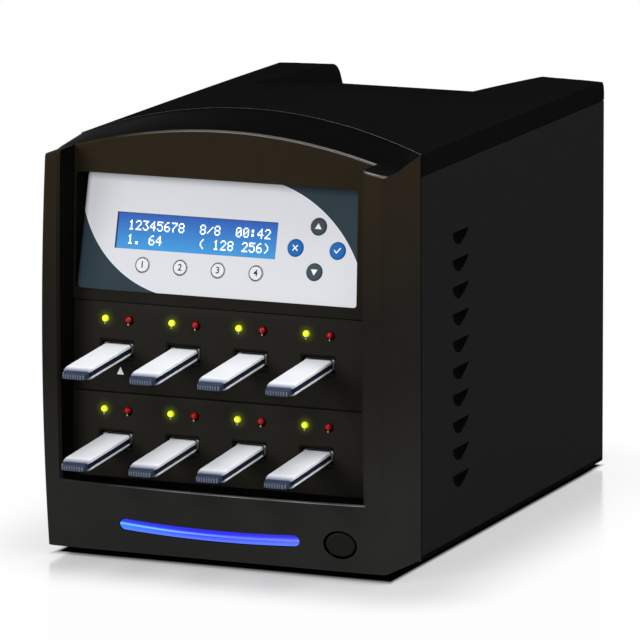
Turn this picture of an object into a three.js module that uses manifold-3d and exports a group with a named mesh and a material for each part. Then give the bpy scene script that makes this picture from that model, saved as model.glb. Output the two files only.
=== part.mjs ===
// USB flash drive duplicator, as an assembly of its separate pieces.
// Millimetres, +Z up, the front faces -Y. Until the last lines, heights are measured from the
// underside of the case and depths from the plane of the bezel's front corners.

import * as THREE from 'three';
import { mergeVertices } from 'three/addons/utils/BufferGeometryUtils.js';
import Module from 'manifold-3d';

const wasm = await Module();
wasm.setup();

// Clearances that the whole machine shares
const seamGap = 0.3; // between two faces that meet
const slideGap = 0.25; // round a piece that slides
const overrun = 1; // how far a cutter runs past what it cuts

// Case
const caseHalfWidth = 91.6;
const caseFront = 42.2;
const caseRear = 296;
const sheet = 1; // side panels
const trayThickness = 1.2; // floor, front frame and rear panel
const coverSeam = 193; // height of the seam under the top cover

// Feet
const footRadius = 8;
const footHeight = 2.5;
const footInsetSide = 20;
const footInsetEnd = 15;

// Front bezel
const bezelInset = 0.4; // from the sides of the case
const bezelHalfWidth = caseHalfWidth - bezelInset;
const bezelWall = 2.5;
const bowDepth = 9.1; // of the front's side edges
const bowBottom = -25; // heights where those edges, carried on, meet the corner plane
const bowTop = 221;
const faceDepth = 9.7; // of the front's middle, which is flatter
const faceMiddle = 118;
const faceHalf = 135;
const facePower = 4;
const sweepPower = 14; // how late the front sweeps back to its side edges
const cornerDepth = 1.6; // the rounding of those edges
const cornerPower = 90;
const underFront = 2.6; // height of the bezel's underside at its front and at its back
const underBack = 0.6;
const railWidth = 10.4;
const railInner = bezelHalfWidth - railWidth;
const railChamfer = 1.4;
const chinTop = 39;
const ledgeDrop = 1.2; // fall of the ledge over the chin to its front
const ledgeSag = 1; // what it falls besides at its middle
const chinWall = 3;
const chinRoof = 5.6;
const roofFrontSide = 200; // the arched roof: its height at the sides and its rise to the crown
const roofBackSide = 203.5;
const roofFrontRise = 14.9;
const roofBackRise = 17.5;
const browDepth = 11; // where the sloping roof starts

// Fascia: the leaning face between the rails
const fasciaFoot = 1; // depth of its plane at height zero
const fasciaLeanDeg = 2.862;
const fasciaWall = 5;
const windowInsetLeft = 1.2; // from the rails
const windowInsetRight = 9.6;
const windowLeft = windowInsetLeft - railInner;
const windowRight = railInner - windowInsetRight;
const windowBottom = 131.9;
const windowTop = 190.4;
const windowRadius = 2.2;
const windowWall = 2;

// Control panel, tilted back in the window
const controlTiltDeg = 12.3; // from the fascia
const controlSetBack = 1.5;
const overlayThickness = 0.5;
const overlayTopGap = 1.4;
const controlThickness = 2.5;
const controlMargin = 1.8; // how far the plate reaches past the window
const displayInsetLeft = 18.3; // from the window's sides
const displayInsetRight = 46.3;
const displayLeft = windowLeft + displayInsetLeft;
const displayRight = windowRight - displayInsetRight;
const displayBottom = 21.4;
const displayTop = 39.1;
const lensThickness = 1.2;
const lensSetBack = 0.25;
const moduleMarginSide = 4;
const moduleMarginEnd = 2.6;
const moduleDepth = 6.3;
const moduleBoard = 1.6;
const controlBoardDepth = 12.6; // front face of the key board, behind the panel's face
const controlBoardThickness = 1.6;
const controlBoardBottom = 4;
const controlBoardTop = 52;
const controlBoardInset = 9;
const controlPostRadius = 2.5;
const controlPostInset = 4;

// Keys
const keyProud = 0.4;
const keyEdge = 0.3;
const keyTravel = 0.5;
const roundKeyRadius = 4.2;
const functionKeyRadius = 3.8;
const keyFlange = 0.8;
const keyFlangeThickness = 0.8;
const keyStemRadius = 1.8;
const keySwitchSize = 6;
const keySwitchHeight = 3.5;
const clusterInset = 24.6; // centre of the four round keys, from the window's side
const clusterX = windowRight - clusterInset;
const clusterHeight = 27.5;
const clusterSpread = 11.2;
const functionKeyCount = 4;
const functionKeyInsetLeft = 16; // of the outer keys, from the display's sides
const functionKeyInsetRight = 9.15;
const functionKeyX = displayLeft + functionKeyInsetLeft;
const functionKeyHeight = 13.6;
const functionKeyPitch = (displayRight - functionKeyInsetRight - functionKeyX) / (functionKeyCount - 1);

// Ports
const portCount = 4;
const portInsetLeft = 24.1; // of the outer ports, from the rails
const portInsetRight = 29.5;
const portX = portInsetLeft - railInner;
const portPitch = (railInner - portInsetRight - portX) / (portCount - 1);
const upperPortHeight = 102.6;
const rowPitch = 45.3;
const portDroopDeg = 4; // the sockets point this far below level
const socketLipWidth = 16.4;
const socketLipHeight = 8.4;
const socketLipProud = 0.9;
const socketLipDepth = 2.4;
const socketFlareWidth = 15.2;
const socketFlareHeight = 7.2;
const socketFlareDepth = 1.6;
const socketShellWidth = 13.7;
const socketShellHeight = 6.2;
const socketDepth = 15;
const socketMouthWidth = 12.6;
const socketMouthHeight = 5.1;
const socketMouthDepth = 13.2;
const tongueWidth = 10.4;
const tongueThickness = 1.1;
const portBoardThickness = 1.6;
const portBoardInset = 5.8; // from the rails
const portBoardHalfWidth = railInner - portBoardInset;
const portBoardHeight = 32;
const portHeaderWidth = 34;
const portHeaderHeight = 6;
const portHeaderDepth = 6;

// Port plates
const plateThickness = 2.2;
const plateSideGap = 0.4;
const plateTop = 126.3;
const plateSplit = 0.6;
const plateLedge = 4; // how far the bezel reaches behind the edge of a plate
const portCutWidth = 18.4;
const portCutHeight = 10.8;
const platePostRadius = 3;
const platePostInset = 12.8; // from the rails
const platePostX = railInner - platePostInset;
const plateEdge = 0.6;

// Lamps
const lampRadius = 1.7;
const lampProud = 1.9;
const lampHeight = 15.4; // above the port's centre
const lampSpread = 6.3; // each side of the port's centre
const lampBackDepth = 4.2;
const lampBackThickness = 3;
const lampBackHeight = 1.9;

// Flash drives
const driveWidth = 14.2;
const driveThickness = 5.2;
const driveSleeveLength = 46.5;
const driveNoseLength = 4.6;
const driveNoseInset = 0.5;
const driveCoreInset = 0.7;
const driveTopSheet = 1.5;
const driveBottomSheet = 0.9;
const driveCornerRadius = 1.1;
const driveNoseRadius = 2.6;
const plugWidth = 12;
const plugThickness = 4.5;
const plugLength = 12;
const plugSlotWidth = 11;
const plugSlotThickness = 1.8;

// Light bar and its board
const buttonInset = 23.1; // of the power button's centre, from the bezel's side
const buttonX = bezelHalfWidth - buttonInset;
const barInset = 41.1; // from the bezel's side, and from the button's centre
const barToButton = 21.9;
const barLeft = barInset - bezelHalfWidth;
const barRight = buttonX - barToButton;
const barLeftHeight = 17.3;
const barRightHeight = 16.5;
const barSag = 1.6;
const barHalfHeight = 2.75;
const barSetBack = 0.2;
const barBack = 6;
const barBoardThickness = 1.6;
const barBoardHeight = 9;
const barBoardMargin = 6;
const barPostRadius = 2.4;

// Power button and its switch
const buttonHeight = 16.6;
const buttonHalfWidth = 7.8;
const buttonHalfHeight = 6.1;
const buttonBack = 5.5;
const buttonGap = 1.1;
const buttonTravel = 2;
const switchSize = 6;
const switchDepth = 3;
const switchPlateHalf = 14;
const switchPlateHeight = 10;
const switchPlateThickness = 1.6;
const switchPostRadius = 2;

// Top cover
const coverWall = 1.8;
const coverSideHeight = 203.8;
const coverRise = 17.6; // rise to the crown at the front
const coverFallShare = 0.9; // how much of the crown is lost at the rear, and how late it falls
const coverFallPower = 1.7;
const coverRearDrop = 0.9;
const coverLip = 2.5;
const coverRearRadius = 6;
const coverRearWall = 4;
const troughInset = 35.2; // of its floor's edges, from the case's sides
const troughHalfWidth = caseHalfWidth - troughInset;
const troughDraft = 0.26; // its walls lean out this much of their height
const troughRear = 193.2;
const troughSlope = 0.147;

// Side panels
const panelRearChamfer = 3;
const louvreCount = 10;
const louvrePitch = 13.7;
const louvreTopHeight = 157.9; // straight edge of the highest louvre
const louvreDepthY = 94; // centre of the louvres
const louvreHalfWidth = 11;
const louvreHeight = 8;
const louvrePress = 2.7;

// Chassis
const trayFlange = 11;
const frameInset = 3.6; // from the case's sides
const frameHalfWidth = caseHalfWidth - frameInset;
const frameHeight = 186;
const frameSide = 8;
const frameBottom = 8;
const frameTop = 6;
const standoffRadius = 3;
const standoffHeight = 8;

// Controller board
const controllerHalfWidth = 58;
const controllerFront = 58;
const controllerBack = 168;
const boardThickness = 1.6;
const standoffInset = 5;
const sinkSize = 34;
const sinkHeight = 11;
const sinkFins = 5;
const chipSize = 20;
const chipHeight = 2.4;
const headerWidth = 36;
const headerDepth = 8;
const headerHeight = 7;
const headerSetBack = 6;

// Ribbon from the controller to the port boards
const ribbonWidth = 30;
const ribbonThickness = 1;
const ribbonTopRun = 5; // past the upper header
const ribbonBend = 12;

// Rear panel
const rearPanelTop = 190.2;
const ventCount = 7;
const ventWidth = 2.6;
const ventHeight = 34;
const ventPitch = 6.4;
const ventX = 34;
const ventZ = 34;

// Power supply, mains inlet and mains switch
const supplyHalfWidth = 62.5;
const supplyDepth = 100;
const supplyHeight = 63.5;
const inletX = -42;
const inletZ = 34;
const inletFlangeWidth = 32;
const inletFlangeHeight = 26;
const inletFlangeThickness = 2;
const inletBodyWidth = 27;
const inletBodyHeight = 20;
const inletBodyDepth = 21;
const inletMouthWidth = 24;
const inletMouthHeight = 16;
const inletMouthDepth = 16;
const pinWidth = 2;
const pinHeight = 4;
const pinLength = 13;
const pinSpread = 7;
const pinOffset = 2;
const rockerX = -12;
const housingFlangeWidth = 15;
const housingFlangeHeight = 21;
const housingFlangeThickness = 1.6;
const housingBodyWidth = 13;
const housingBodyHeight = 19;
const housingBodyDepth = 18;
const housingMouthWidth = 10.4;
const housingMouthHeight = 16;
const housingMouthDepth = 9;
const rockerHalfHeight = 6.9;
const rockerFace = 2.8; // from the pivot to the rocker's ends
const rockerDip = 1.1; // how much its middle is dished
const rockerPivotDepth = 1.2; // of the pivot inside the housing's flange
const rockerRestDeg = 9;
const rockerPinRadius = 1;
const rockerPinLength = 0.8;

// Fan
const fanZ = 134;
const fanHalf = 40;
const fanDepth = 25;
const fanBore = 38;
const fanCornerRadius = 4;
const fanHubRadius = 17;
const fanStrutWidth = 4;
const fanStrutThickness = 2.6;
const fanShaftRadius = 2;
const rotorHubRadius = 16.4;
const rotorLength = 18;
const rotorTipGap = 0.9;
const bladeCount = 7;
const bladeThickness = 1.6;
const bladeChord = 17;
const bladePitchDeg = 38;
const shaftGap = 0.15;
const guardWire = 1.6;
const guardThickness = 2;
const guardRings = 4;
const guardRingPitch = 8.6;

const finish = {
  bezel: { color: 0x24221e, roughness: 0.5, metalness: 0 },
  fascia: { color: 0x201d18, roughness: 0.55, metalness: 0 },
  overlay: { color: 0xd7d9de, roughness: 0.45, metalness: 0 },
  screen: { color: 0x2f78d2, roughness: 0.2, metalness: 0 },
  lens: { color: 0x9fc4ee, roughness: 0.1, metalness: 0 },
  board: { color: 0x1f5a34, roughness: 0.6, metalness: 0 },
  darkKey: { color: 0x37424e, roughness: 0.5, metalness: 0 },
  blueKey: { color: 0x0f5fa8, roughness: 0.5, metalness: 0 },
  whiteKey: { color: 0xe3e4e8, roughness: 0.5, metalness: 0 },
  shell: { color: 0xb4b6b8, roughness: 0.3, metalness: 1 },
  drive: { color: 0xcdd0d4, roughness: 0.35, metalness: 0.6 },
  greenLamp: { color: 0xa6e23a, roughness: 0.25, metalness: 0 },
  redLamp: { color: 0x9c1414, roughness: 0.25, metalness: 0 },
  lightBar: { color: 0x2f55ff, roughness: 0.3, metalness: 0 },
  button: { color: 0x1d1b18, roughness: 0.45, metalness: 0 },
  cover: { color: 0x161615, roughness: 0.55, metalness: 0 },
  panel: { color: 0x1f1f1f, roughness: 0.6, metalness: 0.2 },
  steel: { color: 0x8c8f92, roughness: 0.45, metalness: 0.9 },
  blackPlastic: { color: 0x121212, roughness: 0.5, metalness: 0 },
  rubber: { color: 0x0d0d0d, roughness: 0.9, metalness: 0 },
  ribbon: { color: 0x8f9297, roughness: 0.7, metalness: 0 },
};

// Turns a closed geometry into a solid that can be joined and cut.
function solid(geometry) {
  const bare = geometry.clone();
  bare.deleteAttribute('normal');
  bare.deleteAttribute('uv');
  const merged = mergeVertices(bare);
  const index = merged.index.array;
  const faces = [];
  for (let i = 0; i < index.length; i += 3) {
    const [a, b, c] = [index[i], index[i + 1], index[i + 2]];
    if (a !== b && b !== c && c !== a) faces.push(a, b, c);
  }
  return new wasm.Manifold(new wasm.Mesh({
    numProp: 3,
    vertProperties: Float32Array.from(merged.attributes.position.array),
    triVerts: Uint32Array.from(faces),
  }));
}

function geometryOf(body) {
  const mesh = body.getMesh();
  const geometry = new THREE.BufferGeometry();
  geometry.setAttribute('position', new THREE.BufferAttribute(Float32Array.from(mesh.vertProperties), 3));
  geometry.setIndex(new THREE.BufferAttribute(Uint32Array.from(mesh.triVerts), 1));
  const flat = geometry.toNonIndexed();
  flat.computeVertexNormals();
  return flat;
}

function rawGeometry(points, faces) {
  const geometry = new THREE.BufferGeometry();
  geometry.setAttribute('position', new THREE.BufferAttribute(Float32Array.from(points), 3));
  geometry.setIndex(faces);
  return geometry;
}

function piece(name, body, look) {
  const geometry = body instanceof THREE.BufferGeometry ? body : geometryOf(body);
  const mesh = new THREE.Mesh(geometry, new THREE.MeshStandardMaterial(look));
  mesh.name = name;
  return mesh;
}

function joined(bodies) {
  return bodies.reduce((whole, next) => whole.add(next));
}

function blockGeometry(x0, x1, y0, y1, z0, z1) {
  const geometry = new THREE.BoxGeometry(x1 - x0, y1 - y0, z1 - z0);
  return geometry.translate((x0 + x1) / 2, (y0 + y1) / 2, (z0 + z1) / 2);
}

const block = (...sides) => solid(blockGeometry(...sides));

// An outline drawn in (x, z), carried along Y.
function alongY(shape, y0, y1, curveSegments = 8) {
  const geometry = new THREE.ExtrudeGeometry(shape, { depth: y1 - y0, bevelEnabled: false, curveSegments });
  return geometry.rotateX(Math.PI / 2).translate(0, y1, 0);
}

// An outline drawn in (y, z), carried along X.
function alongX(shape, x0, x1, curveSegments = 8) {
  const geometry = new THREE.ExtrudeGeometry(shape, { depth: x1 - x0, bevelEnabled: false, curveSegments });
  const turn = new THREE.Matrix4().makeBasis(
    new THREE.Vector3(0, 1, 0), new THREE.Vector3(0, 0, 1), new THREE.Vector3(1, 0, 0));
  return geometry.applyMatrix4(turn).translate(x0, 0, 0);
}

const outline = (points) => new THREE.Shape(points.map(([u, v]) => new THREE.Vector2(u, v)));

function roundedOutline(u0, u1, v0, v1, radius) {
  const shape = new THREE.Shape();
  shape.moveTo(u0 + radius, v0);
  shape.lineTo(u1 - radius, v0);
  shape.absarc(u1 - radius, v0 + radius, radius, -Math.PI / 2, 0, false);
  shape.lineTo(u1, v1 - radius);
  shape.absarc(u1 - radius, v1 - radius, radius, 0, Math.PI / 2, false);
  shape.lineTo(u0 + radius, v1);
  shape.absarc(u0 + radius, v1 - radius, radius, Math.PI / 2, Math.PI, false);
  shape.lineTo(u0, v0 + radius);
  shape.absarc(u0 + radius, v0 + radius, radius, Math.PI, 1.5 * Math.PI, false);
  return shape;
}

function ellipseOutline(u, v, radiusU, radiusV) {
  const shape = new THREE.Shape();
  shape.absellipse(u, v, radiusU, radiusV, 0, 2 * Math.PI, false, 0);
  return shape;
}

// A rod along Y.
function rodY(x, z, y0, y1, radius, segments = 16) {
  return new THREE.CylinderGeometry(radius, radius, y1 - y0, segments).translate(x, (y0 + y1) / 2, z);
}

// A rod along Z.
function rodZ(x, y, z0, z1, radius, segments = 16) {
  const geometry = new THREE.CylinderGeometry(radius, radius, z1 - z0, segments);
  return geometry.rotateX(Math.PI / 2).translate(x, y, (z0 + z1) / 2);
}

// Stacks convex rings of equally many points, counter-clockwise from above, lowest first.
function stack(rings) {
  const points = rings.flat(2);
  const count = rings[0].length;
  const last = (rings.length - 1) * count;
  const faces = [];
  for (let k = 0; k + 1 < rings.length; k++) {
    for (let i = 0; i < count; i++) {
      const a = k * count + i;
      const b = k * count + ((i + 1) % count);
      faces.push(a, b, b + count, a, b + count, a + count);
    }
  }
  for (let i = 1; i + 1 < count; i++) faces.push(0, i + 1, i, last, last + i, last + i + 1);
  return rawGeometry(points, faces);
}

// The solid between a level floor and a surface given as a height over a grid.
function underSurface(xs, ys, height, floor) {
  const points = [];
  const faces = [];
  const rows = ys.length;
  xs.forEach((x) => ys.forEach((y) => points.push(x, y, height(x, y))));
  xs.forEach((x) => ys.forEach((y) => points.push(x, y, floor)));
  const base = xs.length * rows;
  const at = (i, j) => i * rows + j;
  for (let i = 0; i + 1 < xs.length; i++) {
    for (let j = 0; j + 1 < rows; j++) {
      const [a, b, c, d] = [at(i, j), at(i + 1, j), at(i + 1, j + 1), at(i, j + 1)];
      faces.push(a, b, c, a, c, d, base + a, base + c, base + b, base + a, base + d, base + c);
    }
  }
  const wall = (a, b) => faces.push(a, base + b, base + a, a, b, base + b);
  for (let i = 0; i + 1 < xs.length; i++) {
    wall(at(i + 1, 0), at(i, 0));
    wall(at(i, rows - 1), at(i + 1, rows - 1));
  }
  for (let j = 0; j + 1 < rows; j++) {
    wall(at(0, j), at(0, j + 1));
    wall(at(xs.length - 1, j + 1), at(xs.length - 1, j));
  }
  return rawGeometry(points, faces);
}

const spread = (from, to, steps) =>
  Array.from({ length: steps + 1 }, (_, i) => from + ((to - from) * i) / steps);

// Places that several pieces share
const lean = THREE.MathUtils.degToRad(fasciaLeanDeg);
const controlTilt = THREE.MathUtils.degToRad(controlTiltDeg);
const portTurn = THREE.MathUtils.degToRad(fasciaLeanDeg + portDroopDeg);
const bezelBack = caseFront - seamGap;
const fasciaAt = (z) => fasciaFoot + z * Math.tan(lean);
const bowMiddle = (bowBottom + bowTop) / 2;
const bowHalf = (bowTop - bowBottom) / 2;
const edgeFront = (z) => -bowDepth * (1 - ((z - bowMiddle) / bowHalf) ** 2);
const middleFront = (z) => -faceDepth * (1 - ((z - faceMiddle) / faceHalf) ** facePower);
const frontAt = (x, z) => {
  const middle = middleFront(z);
  const share = Math.abs(x / bezelHalfWidth);
  return middle + Math.max(0, edgeFront(z) - middle) * share ** sweepPower
    + cornerDepth * share ** cornerPower;
};
const controlHeight = (windowTop - windowBottom) / Math.cos(controlTilt);
const controlBack = overlayThickness + controlThickness;
const overlayTop = controlHeight - overlayTopGap;
const plateBottom = plateTop - 2 * rowPitch + plateSplit;
const portRows = { upper: upperPortHeight, lower: upperPortHeight - rowPitch };
const portXs = spread(portX, portX + (portCount - 1) * portPitch, portCount - 1);
const boardFront = socketDepth + slideGap;
const headerBack = boardFront + portBoardThickness + portHeaderDepth;
const innerHalfWidth = caseHalfWidth - sheet - seamGap;
const rearPanelFront = caseRear - trayThickness;
const boardUnderside = trayThickness + standoffHeight + seamGap;
const tallest = roofBackSide + roofBackRise + coverRise; // above everything

// The leaning fascia and the tilted control panel are groups, and their cutters use the same places.
const fascia = new THREE.Group();
fascia.position.set(0, fasciaFoot, 0);
fascia.rotation.x = -lean;
const control = new THREE.Group();
control.position.set(0, controlSetBack, windowBottom);
control.rotation.x = -controlTilt;
fascia.add(control);
fascia.updateMatrixWorld(true);

const inFascia = (geometry) => solid(geometry.clone().applyMatrix4(fascia.matrixWorld));
const inControl = (geometry) => solid(geometry.clone().applyMatrix4(control.matrixWorld));

// Front bezel
const bezelReach = faceDepth + overrun; // past the front-most point
const plainShares = [0, 0.3, 0.6, 0.8, 0.88, 0.93, 0.965, 0.987, 1]; // of the half width, closer at the edge
const acrossShares = [...plainShares.slice(1).map((share) => -share).reverse(), ...plainShares];

function faceRing(z, halfWidth, inset, back) {
  return [
    ...acrossShares.map((share) => [share * halfWidth, frontAt(share * bezelHalfWidth, z) + inset, z]),
    [halfWidth, back, z],
    [-halfWidth, back, z],
  ];
}

const faceLevels = spread(0, tallest, 13);
const bezelEnvelope = (inset, back) =>
  solid(stack(faceLevels.map((z) => faceRing(z, bezelHalfWidth, inset, back))));

function roofHeight(x, y) {
  const run = Math.max(0, (y - browDepth) / (bezelBack - browDepth));
  const side = roofFrontSide + (roofBackSide - roofFrontSide) * run;
  const rise = roofFrontRise + (roofBackRise - roofFrontRise) * run;
  return side + rise * (1 - (x / bezelHalfWidth) ** 2);
}

function bezelRoof(drop) {
  const reach = bezelHalfWidth + overrun;
  const height = (x, y) => roofHeight(x, y) - drop;
  return solid(underSurface(spread(-reach, reach, 22), [-bezelReach, browDepth, bezelBack + overrun],
    height, -overrun));
}

function underside() {
  const slope = (underFront - underBack) / bezelBack;
  const at = (y) => underFront - slope * y;
  const back = bezelBack + overrun;
  return solid(alongX(outline([[-bezelReach, at(-bezelReach)], [back, at(back)], [back, tallest],
    [-bezelReach, tallest]]), -bezelHalfWidth - overrun, bezelHalfWidth + overrun));
}

// The open space between the rails, in front of the fascia, over the sloping ledge of the chin.
function frontRecess() {
  const low = chinTop - ledgeDrop - ledgeSag - overrun;
  const space = solid(alongX(outline([[-bezelReach, low], [fasciaAt(low), low],
    [fasciaAt(tallest), tallest], [-bezelReach, tallest]]), -railInner, railInner));
  const chamfer = solid(stack(spread(low, tallest, 10).map((z) => {
    const front = frontAt(railInner, z);
    const wide = railInner + railChamfer + overrun;
    return [[-wide, front - overrun, z], [wide, front - overrun, z],
      [railInner, front + railChamfer, z], [-railInner, front + railChamfer, z]];
  })));
  const back = fasciaAt(chinTop);
  const fall = (x, y) => ((back - y) / (back + bezelReach))
    * (ledgeDrop + ledgeSag * (1 - (x / railInner) ** 2));
  const wide = railInner + railChamfer + 2 * overrun;
  const ledge = solid(underSurface(spread(-wide, wide, 10), [-2 * bezelReach, back, bezelBack],
    (x, y) => Math.min(chinTop, chinTop - fall(x, y)), low - overrun));
  return space.add(chamfer).subtract(ledge);
}

function bezelHollow() {
  const inner = bezelHalfWidth - bezelWall;
  const back = bezelBack + overrun;
  const bottom = underFront + bezelWall;
  const chin = solid(stack(spread(bottom, chinTop - chinRoof, 4)
    .map((z) => faceRing(z, inner, chinWall, back))));
  const behind = (z) => fasciaAt(z) + fasciaWall;
  const upper = solid(alongX(outline([[behind(bottom), bottom], [back, bottom], [back, tallest],
    [behind(tallest), tallest]]), -inner, inner));
  return chin.add(upper).intersect(bezelRoof(bezelWall));
}

// The light bar's outline: a band with round ends that sags towards its middle.
function barOutline(grow) {
  const half = barHalfHeight + grow;
  const [left, right] = [barLeft + barHalfHeight, barRight - barHalfHeight];
  const middle = (share) => barLeftHeight + (barRightHeight - barLeftHeight) * share
    - barSag * 4 * share * (1 - share);
  const shares = spread(0, 1, 12);
  const along = (share, side) => [left + (right - left) * share, middle(share) + side * half];
  const end = (x, z, from) => spread(from, from + Math.PI, 6).slice(1, -1).map(
    (turn) => [x + half * Math.cos(turn), z + half * Math.sin(turn)]);
  return outline([
    ...shares.map((share) => along(share, -1)),
    ...end(right, barRightHeight, -Math.PI / 2),
    ...shares.map((share) => along(1 - share, 1)),
    ...end(left, barLeftHeight, Math.PI / 2),
  ]);
}

function barBoardEnds() {
  return [barLeft - barBoardMargin / 2, barRight + barBoardMargin / 2];
}

function frontBezel() {
  const windowTube = inFascia(blockGeometry(windowLeft - windowWall, windowRight + windowWall,
    fasciaWall / 2, bezelBack, windowBottom - windowWall, windowTop + windowWall));
  const controlReach = controlMargin + seamGap;
  const behindControl = (top) => inControl(blockGeometry(
    windowLeft - controlReach, windowRight + controlReach,
    overlayThickness - seamGap, 2 * bezelBack, -controlReach, top));
  const windowShape = roundedOutline(windowLeft, windowRight, windowBottom, windowTop, windowRadius);
  const windowHole = inFascia(alongY(windowShape, -overrun, bezelBack, 3));
  const pocket = inFascia(blockGeometry(-railInner, railInner, -overrun, plateThickness + plateSideGap,
    plateBottom - plateSideGap, plateTop + plateSideGap));
  const opening = inFascia(blockGeometry(-railInner + plateLedge, railInner - plateLedge, 0, bezelBack / 2,
    plateBottom + plateLedge, plateTop - plateLedge));
  const barSlot = solid(alongY(barOutline(seamGap), -bezelReach, barBack));
  const buttonHole = solid(alongY(ellipseOutline(buttonX, buttonHeight, buttonHalfWidth + buttonGap,
    buttonHalfHeight + buttonGap), -bezelReach, buttonBack, 6));
  const post = (x, z, back, radius) => solid(rodY(x, z, frontAt(x, z) + chinWall / 2, back, radius, 8));
  const posts = joined([
    ...barBoardEnds().map((x, i) => post(x, i ? barRightHeight : barLeftHeight, barBack, barPostRadius)),
    ...[-1, 1].map((side) => post(buttonX + side * (switchPlateHalf - switchPostRadius), buttonHeight,
      switchBoardFront - seamGap, switchPostRadius)),
  ]);
  const body = bezelEnvelope(0, bezelBack).intersect(bezelRoof(0)).intersect(underside());
  return body.subtract(frontRecess()).subtract(bezelHollow())
    .add(windowTube.subtract(behindControl(2 * controlHeight)))
    .subtract(behindControl(controlHeight + controlReach))
    .subtract(windowHole)
    .subtract(pocket).subtract(opening).subtract(barSlot).subtract(buttonHole).add(posts);
}

// Control panel and its pieces, drawn in the tilted panel's own plane: y is the depth behind its face.
const roundKeys = [
  { name: 'key_up', x: clusterX, z: clusterHeight + clusterSpread, look: finish.darkKey },
  { name: 'key_down', x: clusterX, z: clusterHeight - clusterSpread, look: finish.darkKey },
  { name: 'key_left', x: clusterX - clusterSpread, z: clusterHeight, look: finish.blueKey },
  { name: 'key_right', x: clusterX + clusterSpread, z: clusterHeight, look: finish.blueKey },
].map((key) => ({ ...key, radius: roundKeyRadius }));
const lastFunctionKeyX = functionKeyX + (functionKeyCount - 1) * functionKeyPitch;
const functionKeys = spread(functionKeyX, lastFunctionKeyX, functionKeyCount - 1).map((x, i) => (
  { name: `function_key_${i + 1}`, x, z: functionKeyHeight, radius: functionKeyRadius,
    look: finish.whiteKey }));
const keys = [...roundKeys, ...functionKeys];

function keyHoles(y0, y1) {
  return joined(keys.map((key) => solid(rodY(key.x, key.z, y0, y1, key.radius + slideGap, 14))));
}

function displayHole(y0, y1) {
  return block(displayLeft - slideGap, displayRight + slideGap, y0, y1, displayBottom - slideGap,
    displayTop + slideGap);
}

function panelOverlay() {
  const face = solid(alongY(roundedOutline(windowLeft + seamGap, windowRight - seamGap, seamGap, overlayTop,
    windowRadius), 0, overlayThickness, 4));
  return face.subtract(keyHoles(-overrun, overrun)).subtract(displayHole(-overrun, overrun));
}

function controlPanel() {
  const [left, right] = [windowLeft - controlMargin, windowRight + controlMargin];
  const plate = block(left, right, overlayThickness, controlBack, -controlMargin,
    controlHeight + controlMargin);
  const postInset = controlBoardInset + controlPostInset;
  const postPlaces = [left + postInset, right - postInset]
    .flatMap((x) => [[x, controlBoardBottom + controlPostInset], [x, controlBoardTop - controlPostInset]]);
  const posts = joined(postPlaces.map(([x, z]) => solid(
    rodY(x, z, controlBack - overlayThickness, controlBoardDepth - seamGap, controlPostRadius, 12))));
  return plate.add(posts).subtract(keyHoles(-overrun, controlBack + overrun / 2))
    .subtract(displayHole(-overrun, controlBack + overrun));
}

function displayLens() {
  return block(displayLeft, displayRight, lensSetBack, lensSetBack + lensThickness, displayBottom,
    displayTop);
}

function displayModule() {
  const front = controlBack + seamGap;
  const [left, right] = [displayLeft - moduleMarginSide, displayRight + moduleMarginSide];
  const [bottom, top] = [displayBottom - moduleMarginEnd, displayTop + moduleMarginEnd];
  const glass = block(displayLeft, displayRight, lensSetBack + lensThickness + seamGap,
    front + moduleDepth / 2,
    displayBottom, displayTop);
  const frame = block(left, right, front, front + moduleDepth, bottom, top);
  const board = block(left - moduleBoard, right + moduleBoard, front + moduleDepth,
    front + moduleDepth + moduleBoard, bottom, top);
  return joined([glass, frame, board]);
}

function key(spec) {
  const flangeFront = controlBack + seamGap;
  const flangeBack = flangeFront + keyFlangeThickness;
  const stemEnd = controlBoardDepth - keySwitchHeight - keyTravel - slideGap;
  const profile = [[0, -keyProud], [spec.radius - keyEdge, -keyProud], [spec.radius, keyEdge - keyProud],
    [spec.radius, flangeFront], [spec.radius + keyFlange, flangeFront], [spec.radius + keyFlange, flangeBack],
    [keyStemRadius, flangeBack], [keyStemRadius, stemEnd], [0, stemEnd]];
  const body = solid(new THREE.LatheGeometry(profile.map(([r, y]) => new THREE.Vector2(r, y)), 12));
  const mesh = piece(spec.name, body, spec.look);
  mesh.position.set(spec.x, 0, spec.z);
  return mesh;
}

function controlBoard() {
  const [left, right] = [windowLeft - controlMargin + controlBoardInset,
    windowRight + controlMargin - controlBoardInset];
  const plate = block(left, right, controlBoardDepth, controlBoardDepth + controlBoardThickness,
    controlBoardBottom, controlBoardTop);
  const half = keySwitchSize / 2;
  const switches = keys.map(({ x, z }) => block(x - half, x + half, controlBoardDepth - keySwitchHeight,
    controlBoardDepth + controlBoardThickness / 2, z - half, z + half));
  return joined([plate, ...switches]);
}

// Port plates, lamps and ports, drawn in the leaning fascia's plane.
function portPlate(portHeight) {
  const top = plateTop - (upperPortHeight - portHeight);
  const bottom = top - rowPitch + plateSplit;
  const half = railInner - plateSideGap;
  const side = outline([[plateEdge, bottom], [plateThickness, bottom], [plateThickness, top],
    [plateEdge, top],
    [0, top - plateEdge], [0, bottom + plateEdge]]);
  const cuts = portXs.flatMap((x) => [
    block(x - portCutWidth / 2, x + portCutWidth / 2, -overrun, plateThickness + overrun,
      portHeight - portCutHeight / 2, portHeight + portCutHeight / 2),
    ...[-1, 1].map((way) => solid(rodY(x + way * lampSpread, portHeight + lampHeight, -overrun,
      plateThickness + overrun, lampRadius + slideGap, 10))),
  ]);
  const postEnd = (boardFront * Math.cos(portTurn)) - platePostRadius * Math.tan(portTurn) - seamGap;
  const postHeight = portHeight + boardFront * Math.sin(portTurn);
  const posts = [-1, 1].map((way) => solid(rodY(way * platePostX, postHeight, plateThickness / 2, postEnd,
    platePostRadius, 8)));
  return joined([solid(alongX(side, -half, half)), ...posts]).subtract(joined(cuts));
}

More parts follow.
